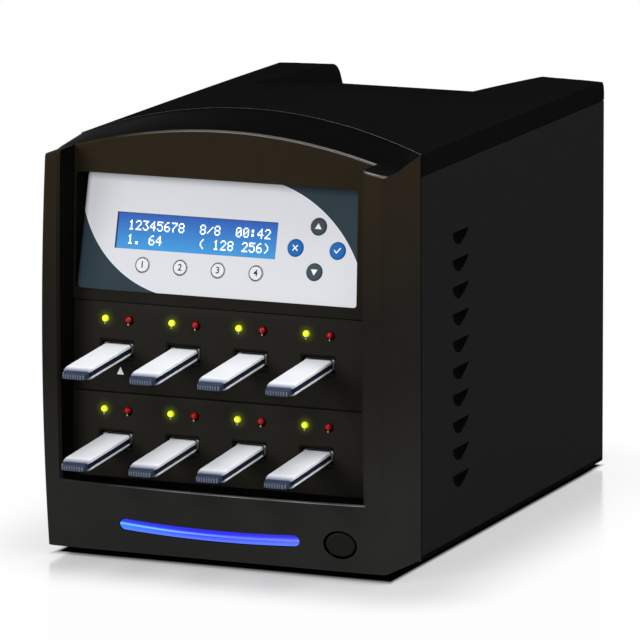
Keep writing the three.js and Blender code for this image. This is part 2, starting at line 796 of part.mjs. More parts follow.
// One strip of lamps: each lamp's back joins a carrier above (way 1) or below (way -1) the row.
function lampStrip(portHeight, side, way) {
  const z = portHeight + lampHeight;
  const near = z + way * (lampRadius + slideGap);
  const far = near + way * lampBackHeight;
  const [low, high] = [Math.min(near, far), Math.max(near, far)];
  const back = lampBackDepth + lampBackThickness;
  const xs = portXs.map((x) => x + side * lampSpread);
  const dome = spread(0, Math.PI / 2, 2).map((turn) => new THREE.Vector2(
    lampRadius * Math.sin(turn), -lampProud + lampRadius * (1 - Math.cos(turn))));
  const profile = [...dome, new THREE.Vector2(lampRadius, back), new THREE.Vector2(0, back)];
  const lamps = xs.map((x) => solid(new THREE.LatheGeometry(profile, 8).translate(x, 0, z)));
  const stems = xs.map((x) => block(x - lampRadius / 2, x + lampRadius / 2, lampBackDepth, back,
    Math.min(z, far), Math.max(z, far)));
  const carrier = block(xs[0] - lampRadius, xs[portCount - 1] + lampRadius, lampBackDepth, back, low, high);
  return joined([...lamps, ...stems, carrier]);
}

// A centred block in a port's own frame: y is the depth into the socket.
const portBlock = (width, y0, y1, z0, z1) => block(-width / 2, width / 2, y0, y1, z0, z1);

function usbSocket() {
  const box = (width, height, y0, y1) => portBlock(width, y0, y1, -height / 2, height / 2);
  const lip = box(socketLipWidth, socketLipHeight, -socketLipProud, socketLipDepth - socketLipProud);
  const shell = box(socketShellWidth, socketShellHeight, 0, socketDepth);
  const flare = box(socketFlareWidth, socketFlareHeight, -socketLipProud - overrun,
    socketFlareDepth - socketLipProud);
  const mouth = box(socketMouthWidth, socketMouthHeight, -socketLipProud - overrun, socketMouthDepth);
  const tongue = portBlock(tongueWidth, socketLipDepth, socketMouthDepth + overrun / 2,
    tongueMiddle - tongueThickness / 2, tongueMiddle + tongueThickness / 2);
  return lip.add(shell).subtract(flare).subtract(mouth).add(tongue);
}

// The plug's slot takes the socket's tongue, and both share this height.
const plugWall = (plugWidth - plugSlotWidth) / 2;
const tongueMiddle = plugThickness / 2 - plugWall - plugSlotThickness / 2;
const driveRear = -socketLipProud - seamGap; // the drive's body stops short of the socket's lip

function flashDrive() {
  const [half, tall] = [driveWidth / 2, driveThickness / 2];
  const core = half - driveCoreInset;
  const [coreBottom, coreTop] = [-tall + driveBottomSheet, tall - driveTopSheet];
  const r = driveCornerRadius;
  const section = outline([
    [-half + r / 2, -tall], [half - r / 2, -tall], [half, -tall + r / 2],
    [half, coreBottom], [core, coreBottom], [core, coreTop], [half, coreTop],
    [half, tall - r], [half - r, tall], [-half + r, tall], [-half, tall - r],
    [-half, coreTop], [-core, coreTop], [-core, coreBottom], [-half, coreBottom], [-half, -tall + r / 2],
  ]);
  const sleeveFront = driveRear - driveSleeveLength;
  const sleeve = solid(alongY(section, sleeveFront, driveRear));
  const noseFront = sleeveFront - driveNoseLength;
  const noseShape = roundedOutline(-half + driveNoseInset, half - driveNoseInset, noseFront,
    sleeveFront + driveNoseRadius, driveNoseRadius);
  const nose = solid(new THREE.ExtrudeGeometry(noseShape, {
    depth: driveThickness - 2 * driveNoseInset, bevelEnabled: false, curveSegments: 3,
  }).translate(0, 0, -tall + driveNoseInset));
  const plug = portBlock(plugWidth, driveRear - overrun, driveRear + plugLength, -plugThickness / 2,
    plugThickness / 2);
  const slot = portBlock(plugSlotWidth, driveRear + plugWall, driveRear + plugLength + overrun,
    tongueMiddle - plugSlotThickness / 2, tongueMiddle + plugSlotThickness / 2);
  return joined([sleeve, nose, plug]).subtract(slot);
}

function portBoard() {
  const middle = (portXs[0] + portXs[portCount - 1]) / 2;
  const plate = block(-portBoardHalfWidth, portBoardHalfWidth, boardFront, boardFront + portBoardThickness,
    -portBoardHeight / 2, portBoardHeight / 2);
  const header = block(middle - portHeaderWidth / 2, middle + portHeaderWidth / 2,
    boardFront + portBoardThickness / 2,
    headerBack, -portHeaderHeight / 2, portHeaderHeight / 2);
  return plate.add(header);
}

function portRow(row, first) {
  const height = portRows[row];
  const group = new THREE.Group();
  group.position.set(0, 0, height);
  group.rotation.x = portTurn;
  const socket = geometryOf(usbSocket());
  const drive = geometryOf(flashDrive());
  portXs.forEach((x, i) => {
    const pair = [piece(`usb_socket_${first + i}`, socket.clone(), finish.shell),
      piece(`flash_drive_${first + i}`, drive.clone(), finish.drive)];
    pair.forEach((mesh) => mesh.position.set(x, 0, 0));
    group.add(...pair);
  });
  group.add(piece(`port_board_${row}`, portBoard(), finish.board));
  fascia.add(group);
  fascia.add(piece(`usb_panel_${row}`, portPlate(height), finish.fascia));
  fascia.add(piece(`green_lamps_${row}`, lampStrip(height, -1, 1), finish.greenLamp));
  fascia.add(piece(`red_lamps_${row}`, lampStrip(height, 1, -1), finish.redLamp));
}

// Chin pieces
function lightBar() {
  return solid(alongY(barOutline(0), -bezelReach, barBack)).intersect(bezelEnvelope(barSetBack, bezelBack));
}

function lightBarBoard() {
  const [left, right] = [barLeft - barBoardMargin, barRight + barBoardMargin];
  const half = barBoardHeight / 2;
  const front = barBack + seamGap;
  const back = front + barBoardThickness;
  const slab = outline([[left, barLeftHeight - half], [right, barRightHeight - half],
    [right, barRightHeight + half], [left, barLeftHeight + half]]);
  return solid(alongY(slab, front, back));
}

const switchFront = buttonBack + buttonTravel + seamGap;
const switchBoardFront = switchFront + switchDepth;

function powerButton() {
  const cap = solid(alongY(ellipseOutline(buttonX, buttonHeight, buttonHalfWidth, buttonHalfHeight),
    -bezelReach, buttonBack, 8));
  return cap.intersect(bezelEnvelope(0, bezelBack));
}

function powerSwitch() {
  const half = switchSize / 2;
  const plate = block(buttonX - switchPlateHalf, buttonX + switchPlateHalf, switchBoardFront,
    switchBoardFront + switchPlateThickness, buttonHeight - switchPlateHeight / 2,
      buttonHeight + switchPlateHeight / 2);
  const body = block(buttonX - half, buttonX + half, switchFront, switchBoardFront + switchPlateThickness / 2,
    buttonHeight - half, buttonHeight + half);
  return plate.add(body);
}

// Top cover: a crowned shell with a sunk trough that opens to the rear between two ridges.
function crownHeight(x, y) {
  const share = Math.max(0, (y - caseFront) / (caseRear - caseFront));
  const rise = coverRise * (1 - coverFallShare * share ** coverFallPower);
  return coverSideHeight - coverRearDrop * share ** 3 + rise * (1 - (x / caseHalfWidth) ** 2);
}

function crownSolid(halfWidth, front, rear, drop) {
  const across = spread(-halfWidth, halfWidth, 18);
  return solid(underSurface(across, spread(front, rear, 9), (x, y) => crownHeight(x, y) - drop, coverSeam));
}

// The space over the trough, grown on its floor and walls to shape the underside too.
function troughSpace(grow) {
  const ring = (y) => {
    const floor = troughRear + troughSlope * (caseRear - y) - grow;
    const [foot, rim] = [troughHalfWidth + grow, troughHalfWidth + grow + (tallest - floor) * troughDraft];
    return [[-foot, floor, -y], [foot, floor, -y], [rim, tallest, -y], [-rim, tallest, -y]];
  };
  return solid(stack([ring(caseRear + overrun), ring(caseFront)]).rotateX(Math.PI / 2));
}

function rearRounding() {
  const r = coverRearRadius;
  const top = crownHeight(troughHalfWidth, caseRear);
  const arc = spread(0, Math.PI / 2, 4)
    .map((turn) => [caseRear - r + r * Math.cos(turn), top - r + r * Math.sin(turn)]);
  return solid(alongX(outline([[caseFront - overrun, coverSeam - overrun], [caseRear, coverSeam - overrun],
    ...arc, [caseFront - overrun, tallest]]), -caseHalfWidth - overrun, caseHalfWidth + overrun));
}

function topCover() {
  const skin = crownSolid(caseHalfWidth, caseFront, caseRear, 0).subtract(troughSpace(0))
    .intersect(rearRounding());
  const lipBottom = coverSeam - coverLip;
  const lip = block(-innerHalfWidth, innerHalfWidth, caseFront, caseRear, lipBottom,
    coverSeam + coverWall / 2);
  const throatHalf = innerHalfWidth - coverWall;
  const front = caseFront - overrun;
  const hollow = crownSolid(throatHalf, front, caseRear - coverRearWall, coverWall)
    .subtract(troughSpace(coverWall));
  const throat = block(-throatHalf, throatHalf, front, caseRear - coverRearWall, lipBottom - overrun,
    coverSeam + overrun / 2).subtract(troughSpace(coverWall));
  return skin.add(lip).subtract(hollow).subtract(throat);
}

// Side panels with pressed louvres, drawn for the right side and mirrored for the left
function louvre(z, grow) {
  const ball = solid(new THREE.SphereGeometry(1, 12, 6).rotateX(Math.PI / 2)
    .scale(louvrePress + grow, louvreHalfWidth + grow, louvreHeight + grow)
    .translate(caseHalfWidth, louvreDepthY, z));
  const reach = louvreHalfWidth + grow + overrun;
  const below = block(caseHalfWidth - louvrePress - grow - overrun,
    caseHalfWidth + (grow ? -sheet / 2 : overrun),
    louvreDepthY - reach, louvreDepthY + reach, z - louvreHeight - grow - overrun, z);
  return ball.intersect(below);
}

function sidePanel(side) {
  const bottom = seamGap;
  const top = coverSeam - seamGap;
  const c = panelRearChamfer;
  const shape = outline([[caseFront, bottom], [caseRear - c, bottom], [caseRear, bottom + c], [caseRear, top],
    [caseFront, top]]);
  const heights = spread(louvreTopHeight, louvreTopHeight - (louvreCount - 1) * louvrePitch, louvreCount - 1);
  const body = solid(alongX(shape, caseHalfWidth - sheet, caseHalfWidth))
    .add(joined(heights.map((z) => louvre(z, sheet)))).subtract(joined(heights.map((z) => louvre(z, 0))));
  if (side > 0) return body;
  const mirrored = geometryOf(body).scale(-1, 1, 1);
  const position = mirrored.attributes.position;
  for (let i = 0; i < position.count; i += 3) {
    const [a, b] = [i + 1, i + 2].map((k) => new THREE.Vector3().fromBufferAttribute(position, k));
    position.setXYZ(i + 1, b.x, b.y, b.z);
    position.setXYZ(i + 2, a.x, a.y, a.z);
  }
  return solid(mirrored);
}

// Chassis: a folded floor with side flanges, the front frame and the controller's standoffs
const standoffPlaces = [-1, 1].flatMap((way) =>
  [controllerFront + standoffInset, controllerBack - standoffInset]
  .map((y) => [way * (controllerHalfWidth - standoffInset), y]));

function chassisBase() {
  const back = rearPanelFront - seamGap;
  const t = trayThickness;
  const floor = block(-innerHalfWidth, innerHalfWidth, caseFront, back, 0, t);
  const flanges = [-1, 1].map((side) => {
    const edges = [side * innerHalfWidth, side * (innerHalfWidth - t)].sort((a, b) => a - b);
    return block(edges[0], edges[1], caseFront + trayFlange, back, 0, trayFlange);
  });
  const frame = block(-frameHalfWidth, frameHalfWidth, caseFront, caseFront + t, 0, frameHeight)
    .subtract(block(-frameHalfWidth + frameSide, frameHalfWidth - frameSide, caseFront - overrun,
      caseFront + t + overrun, frameBottom, frameHeight - frameTop));
  const standoffs = standoffPlaces.map(([x, y]) =>
    solid(rodZ(x, y, t / 2, t + standoffHeight, standoffRadius, 12)));
  return joined([floor, ...flanges, frame, ...standoffs]);
}

function foot(x, y) {
  return solid(rodZ(x, y, -footHeight, 0, footRadius, 24));
}

function controllerBoard() {
  const [half, low] = [controllerHalfWidth, boardUnderside];
  const top = low + boardThickness;
  const plate = block(-half, half, controllerFront, controllerBack, low, top);
  const sinkX = half / 3;
  const sinkY = (controllerFront + controllerBack) / 2;
  const reach = sinkSize / 2;
  const sinkBase = block(sinkX - reach, sinkX + reach, sinkY - reach, sinkY + reach, low + boardThickness / 2,
    top + sinkHeight / 3);
  const finWidth = sinkSize / (2 * sinkFins - 1);
  const fins = spread(0, sinkFins - 1, sinkFins - 1).map((i) => {
    const x = sinkX - reach + 2 * i * finWidth;
    return block(x, x + finWidth, sinkY - reach, sinkY + reach, top, top + sinkHeight);
  });
  const chip = (x, y) => block(x - chipSize / 2, x + chipSize / 2, y - chipSize / 2, y + chipSize / 2,
    low + boardThickness / 2, top + chipHeight);
  const header = block(-headerWidth / 2, headerWidth / 2, controllerFront + headerSetBack,
    controllerFront + headerSetBack + headerDepth, low + boardThickness / 2, top + headerHeight);
  return joined([plate, sinkBase, ...fins, chip(-half / 2, sinkY),
    chip(-half / 2, controllerBack - chipSize), header]);
}

// The ribbon climbs from the controller's header and runs up behind the two port headers.
function portRibbon() {
  const [up, down] = [Math.cos(portTurn), Math.sin(portTurn)];
  const near = headerBack * up + (portHeaderHeight / 2) * down + seamGap;
  const toWorld = (y, z) => [fasciaFoot + y * Math.cos(lean) + z * Math.sin(lean),
    z * Math.cos(lean) - y * Math.sin(lean)];
  const far = near + ribbonThickness;
  const headerLift = headerBack * down + portHeaderHeight / 2;
  const top = portRows.upper + headerLift + ribbonTopRun;
  const low = portRows.lower + headerLift - portHeaderHeight - ribbonTopRun;
  const headerTop = boardUnderside + boardThickness + headerHeight + seamGap;
  const headerY = controllerFront + headerSetBack + headerDepth;
  const bendY = headerY - headerDepth - ribbonBend / 3;
  const t = ribbonThickness;
  const shape = outline([
    toWorld(near, top), toWorld(near, low), [bendY - ribbonBend, headerTop + ribbonBend / 2],
    [bendY, headerTop], [headerY, headerTop], [headerY, headerTop + t], [bendY, headerTop + t],
    [bendY - ribbonBend + t, headerTop + ribbonBend / 2 + t], toWorld(far, low), toWorld(far, top),
  ]);
  return solid(alongX(shape, -ribbonWidth / 2, ribbonWidth / 2));
}

// Rear panel and what it carries
function rearPanel() {
  const plate = block(-innerHalfWidth, innerHalfWidth, rearPanelFront, caseRear, trayThickness, rearPanelTop);
  const [front, back] = [rearPanelFront - overrun, caseRear + overrun];
  const hole = (x, z, width, height) => block(x - width / 2 - slideGap, x + width / 2 + slideGap, front, back,
    z - height / 2 - slideGap, z + height / 2 + slideGap);
  const fanHole = solid(rodY(0, fanZ, front, back, fanBore, 28));
  const vents = spread(0, ventCount - 1, ventCount - 1).map((i) => {
    const x = ventX + (i - (ventCount - 1) / 2) * ventPitch;
    return block(x - ventWidth / 2, x + ventWidth / 2, front, back, ventZ - ventHeight / 2,
      ventZ + ventHeight / 2);
  });
  return plate.subtract(joined([fanHole, hole(inletX, inletZ, inletBodyWidth, inletBodyHeight),
    hole(rockerX, inletZ, housingBodyWidth, housingBodyHeight), ...vents]));
}

function powerSupply() {
  const back = rearPanelFront - seamGap;
  const box = block(-supplyHalfWidth, supplyHalfWidth, back - supplyDepth, back, trayThickness,
    trayThickness + supplyHeight);
  const pocket = (x, width, height, depth) => block(x - width / 2 - seamGap, x + width / 2 + seamGap,
    caseRear - depth - seamGap, back + overrun, inletZ - height / 2 - seamGap, inletZ + height / 2 + seamGap);
  return box.subtract(pocket(inletX, inletBodyWidth, inletBodyHeight, inletBodyDepth))
    .subtract(pocket(rockerX, housingBodyWidth, housingBodyHeight, housingBodyDepth));
}

function centredBlock(x, z, width, height, y0, y1) {
  return block(x - width / 2, x + width / 2, y0, y1, z - height / 2, z + height / 2);
}

function powerInlet() {
  const rim = caseRear + inletFlangeThickness;
  const body = centredBlock(inletX, inletZ, inletFlangeWidth, inletFlangeHeight, caseRear, rim)
    .add(centredBlock(inletX, inletZ, inletBodyWidth, inletBodyHeight, caseRear - inletBodyDepth,
      caseRear + overrun));
  const mouth = centredBlock(inletX, inletZ, inletMouthWidth, inletMouthHeight, rim - inletMouthDepth,
    rim + overrun);
  const floor = rim - inletMouthDepth;
  const pinPlaces = [[-pinSpread, -pinOffset], [pinSpread, -pinOffset], [0, pinOffset]];
  const pins = pinPlaces.map(([x, z]) => centredBlock(
    inletX + x, inletZ + z, pinWidth, pinHeight, floor - overrun, floor + pinLength));
  return joined([body.subtract(mouth), ...pins]);
}

const rockerPivotY = caseRear + housingFlangeThickness - rockerPivotDepth;

function switchHousing() {
  const rim = caseRear + housingFlangeThickness;
  const body = centredBlock(rockerX, inletZ, housingFlangeWidth, housingFlangeHeight, caseRear, rim)
    .add(centredBlock(rockerX, inletZ, housingBodyWidth, housingBodyHeight, caseRear - housingBodyDepth,
      caseRear + overrun));
  const mouth = centredBlock(rockerX, inletZ, housingMouthWidth, housingMouthHeight,
    rim - housingMouthDepth, rim + overrun);
  const reach = housingMouthWidth / 2 + rockerPinLength + slideGap;
  const bearing = solid(new THREE.CylinderGeometry(rockerPinRadius + slideGap, rockerPinRadius + slideGap,
    2 * reach, 12)
    .rotateZ(Math.PI / 2).translate(rockerX, rockerPivotY, inletZ));
  return body.subtract(mouth).subtract(bearing);
}

// The rocker is drawn level about its pivot and then pressed at its lower end.
function mainsRocker() {
  const half = housingMouthWidth / 2 - slideGap;
  const tail = rockerFace + rockerDip;
  const shape = outline([[-tail, -rockerHalfHeight / 3], [rockerFace, -rockerHalfHeight],
    [rockerFace - rockerDip, 0],
    [rockerFace, rockerHalfHeight], [-tail, rockerHalfHeight / 3]]);
  const pin = new THREE.CylinderGeometry(rockerPinRadius, rockerPinRadius, 2 * (half + rockerPinLength), 12)
    .rotateZ(Math.PI / 2);
  const mesh = piece('mains_rocker', solid(alongX(shape, -half, half)).add(solid(pin)), finish.blackPlastic);
  mesh.position.set(rockerX, rockerPivotY, inletZ);
  mesh.rotation.x = THREE.MathUtils.degToRad(rockerRestDeg);
  return mesh;
}

const fanBack = rearPanelFront - seamGap;
const strutFront = fanBack - fanStrutThickness;

function fanFrame() {
  const outer = solid(alongY(roundedOutline(-fanHalf, fanHalf, fanZ - fanHalf, fanZ + fanHalf,
    fanCornerRadius),
    fanBack - fanDepth, fanBack, 3));
  const bore = solid(rodY(0, fanZ, fanBack - fanDepth - overrun, fanBack + overrun, fanBore, 28));
  const reach = (fanBore + overrun) * 2;
  const struts = centredBlock(0, fanZ, reach, fanStrutWidth, strutFront, fanBack)
    .add(centredBlock(0, fanZ, fanStrutWidth, reach, strutFront, fanBack));
  const hub = solid(rodY(0, fanZ, strutFront, fanBack, fanHubRadius, 20));
  const shaft = solid(rodY(0, fanZ, strutFront - rotorLength / 2, strutFront + overrun, fanShaftRadius, 12));
  return joined([outer.subtract(bore), struts, hub, shaft]);
}

function fanRotor() {
  const back = strutFront - seamGap;
  const front = back - rotorLength;
  const tip = fanBore - rotorTipGap;
  const middle = (front + back) / 2;
  const hub = solid(rodY(0, fanZ, front, back, rotorHubRadius, 20));
  const blades = spread(0, bladeCount - 1, bladeCount - 1).map((i) => solid(
    blockGeometry(rotorHubRadius / 2, tip, -bladeThickness / 2, bladeThickness / 2, -bladeChord / 2,
      bladeChord / 2)
      .rotateX(THREE.MathUtils.degToRad(bladePitchDeg)).rotateY((2 * Math.PI * i) / bladeCount)
      .translate(0, middle, fanZ)));
  const tube = solid(rodY(0, fanZ, front, back, tip, 28));
  const shaftHole = solid(rodY(0, fanZ, strutFront - rotorLength / 2 - overrun, back + overrun,
    fanShaftRadius + shaftGap, 12));
  return joined(blades).intersect(tube).add(hub).subtract(shaftHole);
}

function fanGuard() {
  const [front, back] = [caseRear + seamGap, caseRear + seamGap + guardThickness];
  const ring = (outer) => solid(rodY(0, fanZ, front, back, outer, 20))
    .subtract(solid(rodY(0, fanZ, front - overrun, back + overrun, outer - guardWire, 20)));
  const rings = spread(1, guardRings, guardRings - 1).map((i) => ring(i * guardRingPitch + guardWire));
  const span = 2 * (guardRings * guardRingPitch + guardWire * 2);
  const bar = (deg) => solid(blockGeometry(-span / 2, span / 2, front, back, -guardWire / 2, guardWire / 2)
    .rotateY(THREE.MathUtils.degToRad(deg)).translate(0, 0, fanZ));
  return joined([...rings, bar(45), bar(135)]);
}

// Assembly
const machine = new THREE.Group();
machine.add(fascia);
control.add(
  piece('control_panel', controlPanel(), finish.blackPlastic),
  piece('panel_overlay', panelOverlay(), finish.overlay),
  piece('display_lens', displayLens(), finish.lens),
  piece('display_module', displayModule(), finish.screen),
  piece('control_board', controlBoard(), finish.board),
  ...keys.map(key),
);
portRow('upper', 1);
portRow('lower', 1 + portCount);
machine.add(
  piece('front_bezel', frontBezel(), finish.bezel),
  piece('light_bar', lightBar(), finish.lightBar),
  piece('light_bar_board', lightBarBoard(), finish.board),
  piece('power_button', powerButton(), finish.button),
  piece('power_switch', powerSwitch(), finish.board),
  piece('top_cover', topCover(), finish.cover),
  piece('right_side_panel', sidePanel(1), finish.panel),
  piece('left_side_panel', sidePanel(-1), finish.panel),
  piece('chassis_base', chassisBase(), finish.steel),
  piece('rear_panel', rearPanel(), finish.panel),
  piece('controller_board', controllerBoard(), finish.board),
  piece('port_ribbon', portRibbon(), finish.ribbon),
  piece('power_supply', powerSupply(), finish.steel),
  piece('power_inlet', powerInlet(), finish.blackPlastic),
  piece('switch_housing', switchHousing(), finish.blackPlastic),
  mainsRocker(),
  piece('fan_frame', fanFrame(), finish.blackPlastic),
  piece('fan_rotor', fanRotor(), finish.blackPlastic),
  piece('fan_guard', fanGuard(), finish.steel),
);
const footX = caseHalfWidth - footInsetSide;
[[-1, caseFront + footInsetEnd], [1, caseFront + footInsetEnd], [-1, caseRear - footInsetEnd],
  [1, caseRear - footInsetEnd]].forEach(([side, y], i) => {
  machine.add(piece(`foot_${i + 1}`, foot(side * footX, y), finish.rubber));
});

// The finished part stands on its feet at height zero, centred over the origin.
machine.position.z = footHeight;
machine.updateMatrixWorld(true);
const reachY = new THREE.Box3().setFromObject(machine);
machine.position.y = -(reachY.min.y + reachY.max.y) / 2;

const duplicator = new THREE.Group();
duplicator.name = 'usb_flash_drive_duplicator';
duplicator.add(machine);

export default duplicator;
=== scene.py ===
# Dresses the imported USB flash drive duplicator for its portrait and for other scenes.
# Pieces are drawn in millimetres, heights from the underside of the case and depths from
# the plane of the bezel's front corners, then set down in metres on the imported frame.
import math
import bpy
import bmesh
from mathutils import Matrix, Vector


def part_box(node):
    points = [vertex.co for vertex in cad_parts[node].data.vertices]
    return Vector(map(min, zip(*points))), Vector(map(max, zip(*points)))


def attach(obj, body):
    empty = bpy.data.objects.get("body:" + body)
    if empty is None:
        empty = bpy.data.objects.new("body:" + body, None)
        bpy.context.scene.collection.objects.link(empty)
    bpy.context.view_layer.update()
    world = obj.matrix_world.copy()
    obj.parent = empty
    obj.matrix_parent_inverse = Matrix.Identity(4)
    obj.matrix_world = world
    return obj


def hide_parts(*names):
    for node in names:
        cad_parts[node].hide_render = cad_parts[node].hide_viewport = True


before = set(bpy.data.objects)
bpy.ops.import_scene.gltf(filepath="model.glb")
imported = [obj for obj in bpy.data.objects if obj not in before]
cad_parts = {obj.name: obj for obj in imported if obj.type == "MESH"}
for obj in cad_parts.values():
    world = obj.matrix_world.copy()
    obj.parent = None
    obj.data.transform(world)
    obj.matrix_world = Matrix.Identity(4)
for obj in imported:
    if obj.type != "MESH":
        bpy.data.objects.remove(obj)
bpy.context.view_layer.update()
mm = 0.001


def shift(x=0, y=0, z=0):
    return Matrix.Translation((x * mm, y * mm, z * mm))


def turn(degrees, axis):
    return Matrix.Rotation(math.radians(degrees), 4, axis)


# Where the pieces sit: the case, the leaning fascia, the tilted keypad and the ports
caseDepth = 296
fasciaLean, fasciaBack = 2.862, 1
keypadTilt, keypadFoot = 12.3, (1.5, 131.9)
portDroop = 4
portHeights = {"upper": 102.6, "lower": 57.3}
portXs = [-56.7, -20.7, 15.3, 51.3]
machine = Matrix.Translation((0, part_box("rear_panel")[1].y - caseDepth * mm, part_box("foot_1")[1].z))
fascia = machine @ shift(0, fasciaBack) @ turn(-fasciaLean, "X")
keypad = fascia @ shift(0, *keypadFoot) @ turn(-keypadTilt, "X")
portPlaces = [fascia @ shift(0, 0, height) @ turn(fasciaLean + portDroop, "X") @ shift(x)
              for height in portHeights.values() for x in portXs]


# Mesh helpers, all in millimetres
def spread(low, high, steps):
    return [low + (high - low) * i / steps for i in range(steps + 1)]


def weld(bm, gap):
    bmesh.ops.remove_doubles(bm, verts=bm.verts, dist=gap)
    bmesh.ops.dissolve_degenerate(bm, edges=bm.edges, dist=gap / 2)
    bmesh.ops.recalc_face_normals(bm, faces=bm.faces)
    return bm


def patched(grids, ends=(), gap=0.002):  # skins from grids of points, closed by flat ends
    bm = bmesh.new()
    for rows in grids:
        made = [[bm.verts.new(p) for p in row] for row in rows]
        for a, b in zip(made, made[1:]):
            for i in range(len(a) - 1):
                bm.faces.new((a[i], a[i + 1], b[i + 1], b[i]))
    for end in ends:
        bm.faces.new([bm.verts.new(p) for p in end])
    return weld(bm, gap)


def roundEdges(bm, width, steps=2, corner=28, keep=None):
    found = [e for e in bm.edges if len(e.link_faces) == 2 and e.calc_face_angle(0) > math.radians(corner)
             and e.is_convex and (keep is None or keep(e))]
    if found:
        bmesh.ops.bevel(bm, geom=found, offset=width, offset_type="OFFSET", segments=steps, profile=0.5,
                        affect="EDGES", clamp_overlap=True)
    return bm


def sliced(bm, normal, point):
    bmesh.ops.bisect_plane(bm, geom=bm.verts[:] + bm.edges[:] + bm.faces[:], plane_no=normal, plane_co=point)


def slab(x0, x1, y0, y1, z0, z1):
    bm = bmesh.new()
    bmesh.ops.create_cube(bm, size=1)
    bmesh.ops.scale(bm, vec=(x1 - x0, y1 - y0, z1 - z0), verts=bm.verts)
    bmesh.ops.translate(bm, vec=((x0 + x1) / 2, (y0 + y1) / 2, (z0 + z1) / 2), verts=bm.verts)
    return bm


def extruded(points, low, high, along):
    place = {"X": lambda u, v, w: (w, u, v), "Y": lambda u, v, w: (u, w, v),
             "Z": lambda u, v, w: (u, v, w)}[along]
    bm = bmesh.new()
    ends = [[bm.verts.new(place(u, v, w)) for u, v in points] for w in (low, high)]
    for end in ends:
        bm.faces.new(end)
    for i in range(len(points)):
        j = (i + 1) % len(points)
        bm.faces.new((ends[0][i], ends[0][j], ends[1][j], ends[1][i]))
    bmesh.ops.recalc_face_normals(bm, faces=bm.faces)
    return bm


def roundedRect(u0, u1, v0, v1, radius, steps=6):
    points = []
    for u, v, start in ((u1 - radius, v0 + radius, -90), (u1 - radius, v1 - radius, 0),
                        (u0 + radius, v1 - radius, 90), (u0 + radius, v0 + radius, 180)):
        for i in range(steps + 1):
            a = math.radians(start + 90 * i / steps)
            points.append((u + radius * math.cos(a), v + radius * math.sin(a)))
    return points


def pad(x, z, wide, tall, radius, low, high):  # a block with rounded corners that faces front
    outline = roundedRect(x - wide / 2, x + wide / 2, z - tall / 2, z + tall / 2, radius)
    return extruded(outline, low, high, "Y")


def disc(x, z, radius, low, high, steps=64, radiusZ=None):
    angles = [2 * math.pi * i / steps for i in range(steps)]
    outline = [(x + radius * math.cos(a), z + (radiusZ or radius) * math.sin(a)) for a in angles]
    return extruded(outline, low, high, "Y")


def moved(bm, x=0, y=0, z=0, matrix=None):
    bmesh.ops.transform(bm, matrix=matrix or Matrix.Translation((x, y, z)), verts=bm.verts)
    return bm


def turned(profile, steps=40, along="Y"):
    bm = bmesh.new()
    rings = []
    for radius, depth in profile:
        angles = [2 * math.pi * i / steps for i in range(steps)] if radius > 0 else [0]
        rings.append([bm.verts.new((radius * math.cos(a), radius * math.sin(a), depth)) for a in angles])
    for a, b in zip(rings, rings[1:]):
        for i in range(steps):
            j = (i + 1) % steps
            corners = dict.fromkeys([a[i % len(a)], a[j % len(a)], b[j % len(b)], b[i % len(b)]])
            if len(corners) > 2:
                bm.faces.new(list(corners))
    bmesh.ops.recalc_face_normals(bm, faces=bm.faces)
    return moved(bm, matrix={"X": turn(90, "Y"), "Y": turn(-90, "X"), "Z": Matrix()}[along])


def gathered(parts):
    whole = bmesh.new()
    for bm in parts:
        mesh = bpy.data.meshes.new("loose")
        bm.to_mesh(mesh)
        whole.from_mesh(mesh)
        bpy.data.meshes.remove(mesh)
        bm.free()
    return whole


def combined(base, *others, how="DIFFERENCE"):
    for other in others:
        pair = []
        for bm in (base, other):
            mesh = bpy.data.meshes.new("cutting")
            bm.to_mesh(mesh)
            bm.free()
            pair.append(bpy.data.objects.new("cutting", mesh))
            bpy.context.scene.collection.objects.link(pair[-1])
        cut = pair[0].modifiers.new("cut", "BOOLEAN")
        cut.operation, cut.object, cut.solver = how, pair[1], "MANIFOLD"
        result = bpy.data.meshes.new_from_object(pair[0].evaluated_get(bpy.context.evaluated_depsgraph_get()))
        base = bmesh.new()
        base.from_mesh(result)
        bpy.data.meshes.remove(result)
        for obj in pair:
            mesh = obj.data
            bpy.data.objects.remove(obj)
            bpy.data.meshes.remove(mesh)
    return base


def tinted(bm, index):
    for face in bm.faces:
        face.material_index = index
    return bm


# Makes the object from its mesh, in metres, with its finishes; the rest is said by placed
def finished(bm, name, finishes, stands=None, slot=None, body="case", place=machine, corner=32, even=True):
    mesh = bpy.data.meshes.new(name)
    bmesh.ops.scale(bm, vec=(mm, mm, mm), verts=bm.verts)
    bm.to_mesh(mesh)
    bm.free()
    for polygon in mesh.polygons:
        polygon.use_smooth = True
    mesh.set_sharp_from_angle(angle=math.radians(corner))
    for material in (finishes if isinstance(finishes, list) else [finishes]):
        mesh.materials.append(material)
    return placed(mesh, name, stands, body, place, even)


def placed(mesh, name, stands, body, place, even=True):
    obj = bpy.data.objects.new(name, mesh)
    bpy.context.scene.collection.objects.link(obj)
    if even:
        obj.modifiers.new("evenShading", "WEIGHTED_NORMAL").keep_sharp = True
    obj.matrix_world = place
    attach(obj, body)
    if stands:
        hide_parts(stands)
    return obj


# The same mesh at several places, each for its own numbered node
def repeated(bm, label, node, places, finishes, slot, rides=False, **shading):
    mesh = None
    for i, place in enumerate(places, 1):
        name, stands = "%s_%d" % (label, i), "%s_%d" % (node, i)
        body = stands if rides else "case"
        if mesh is None:
            mesh = finished(bm, name, finishes, stands, slot, body, place, **shading).data
        else:
            placed(mesh, name, stands, body, place, shading.get("even", True))


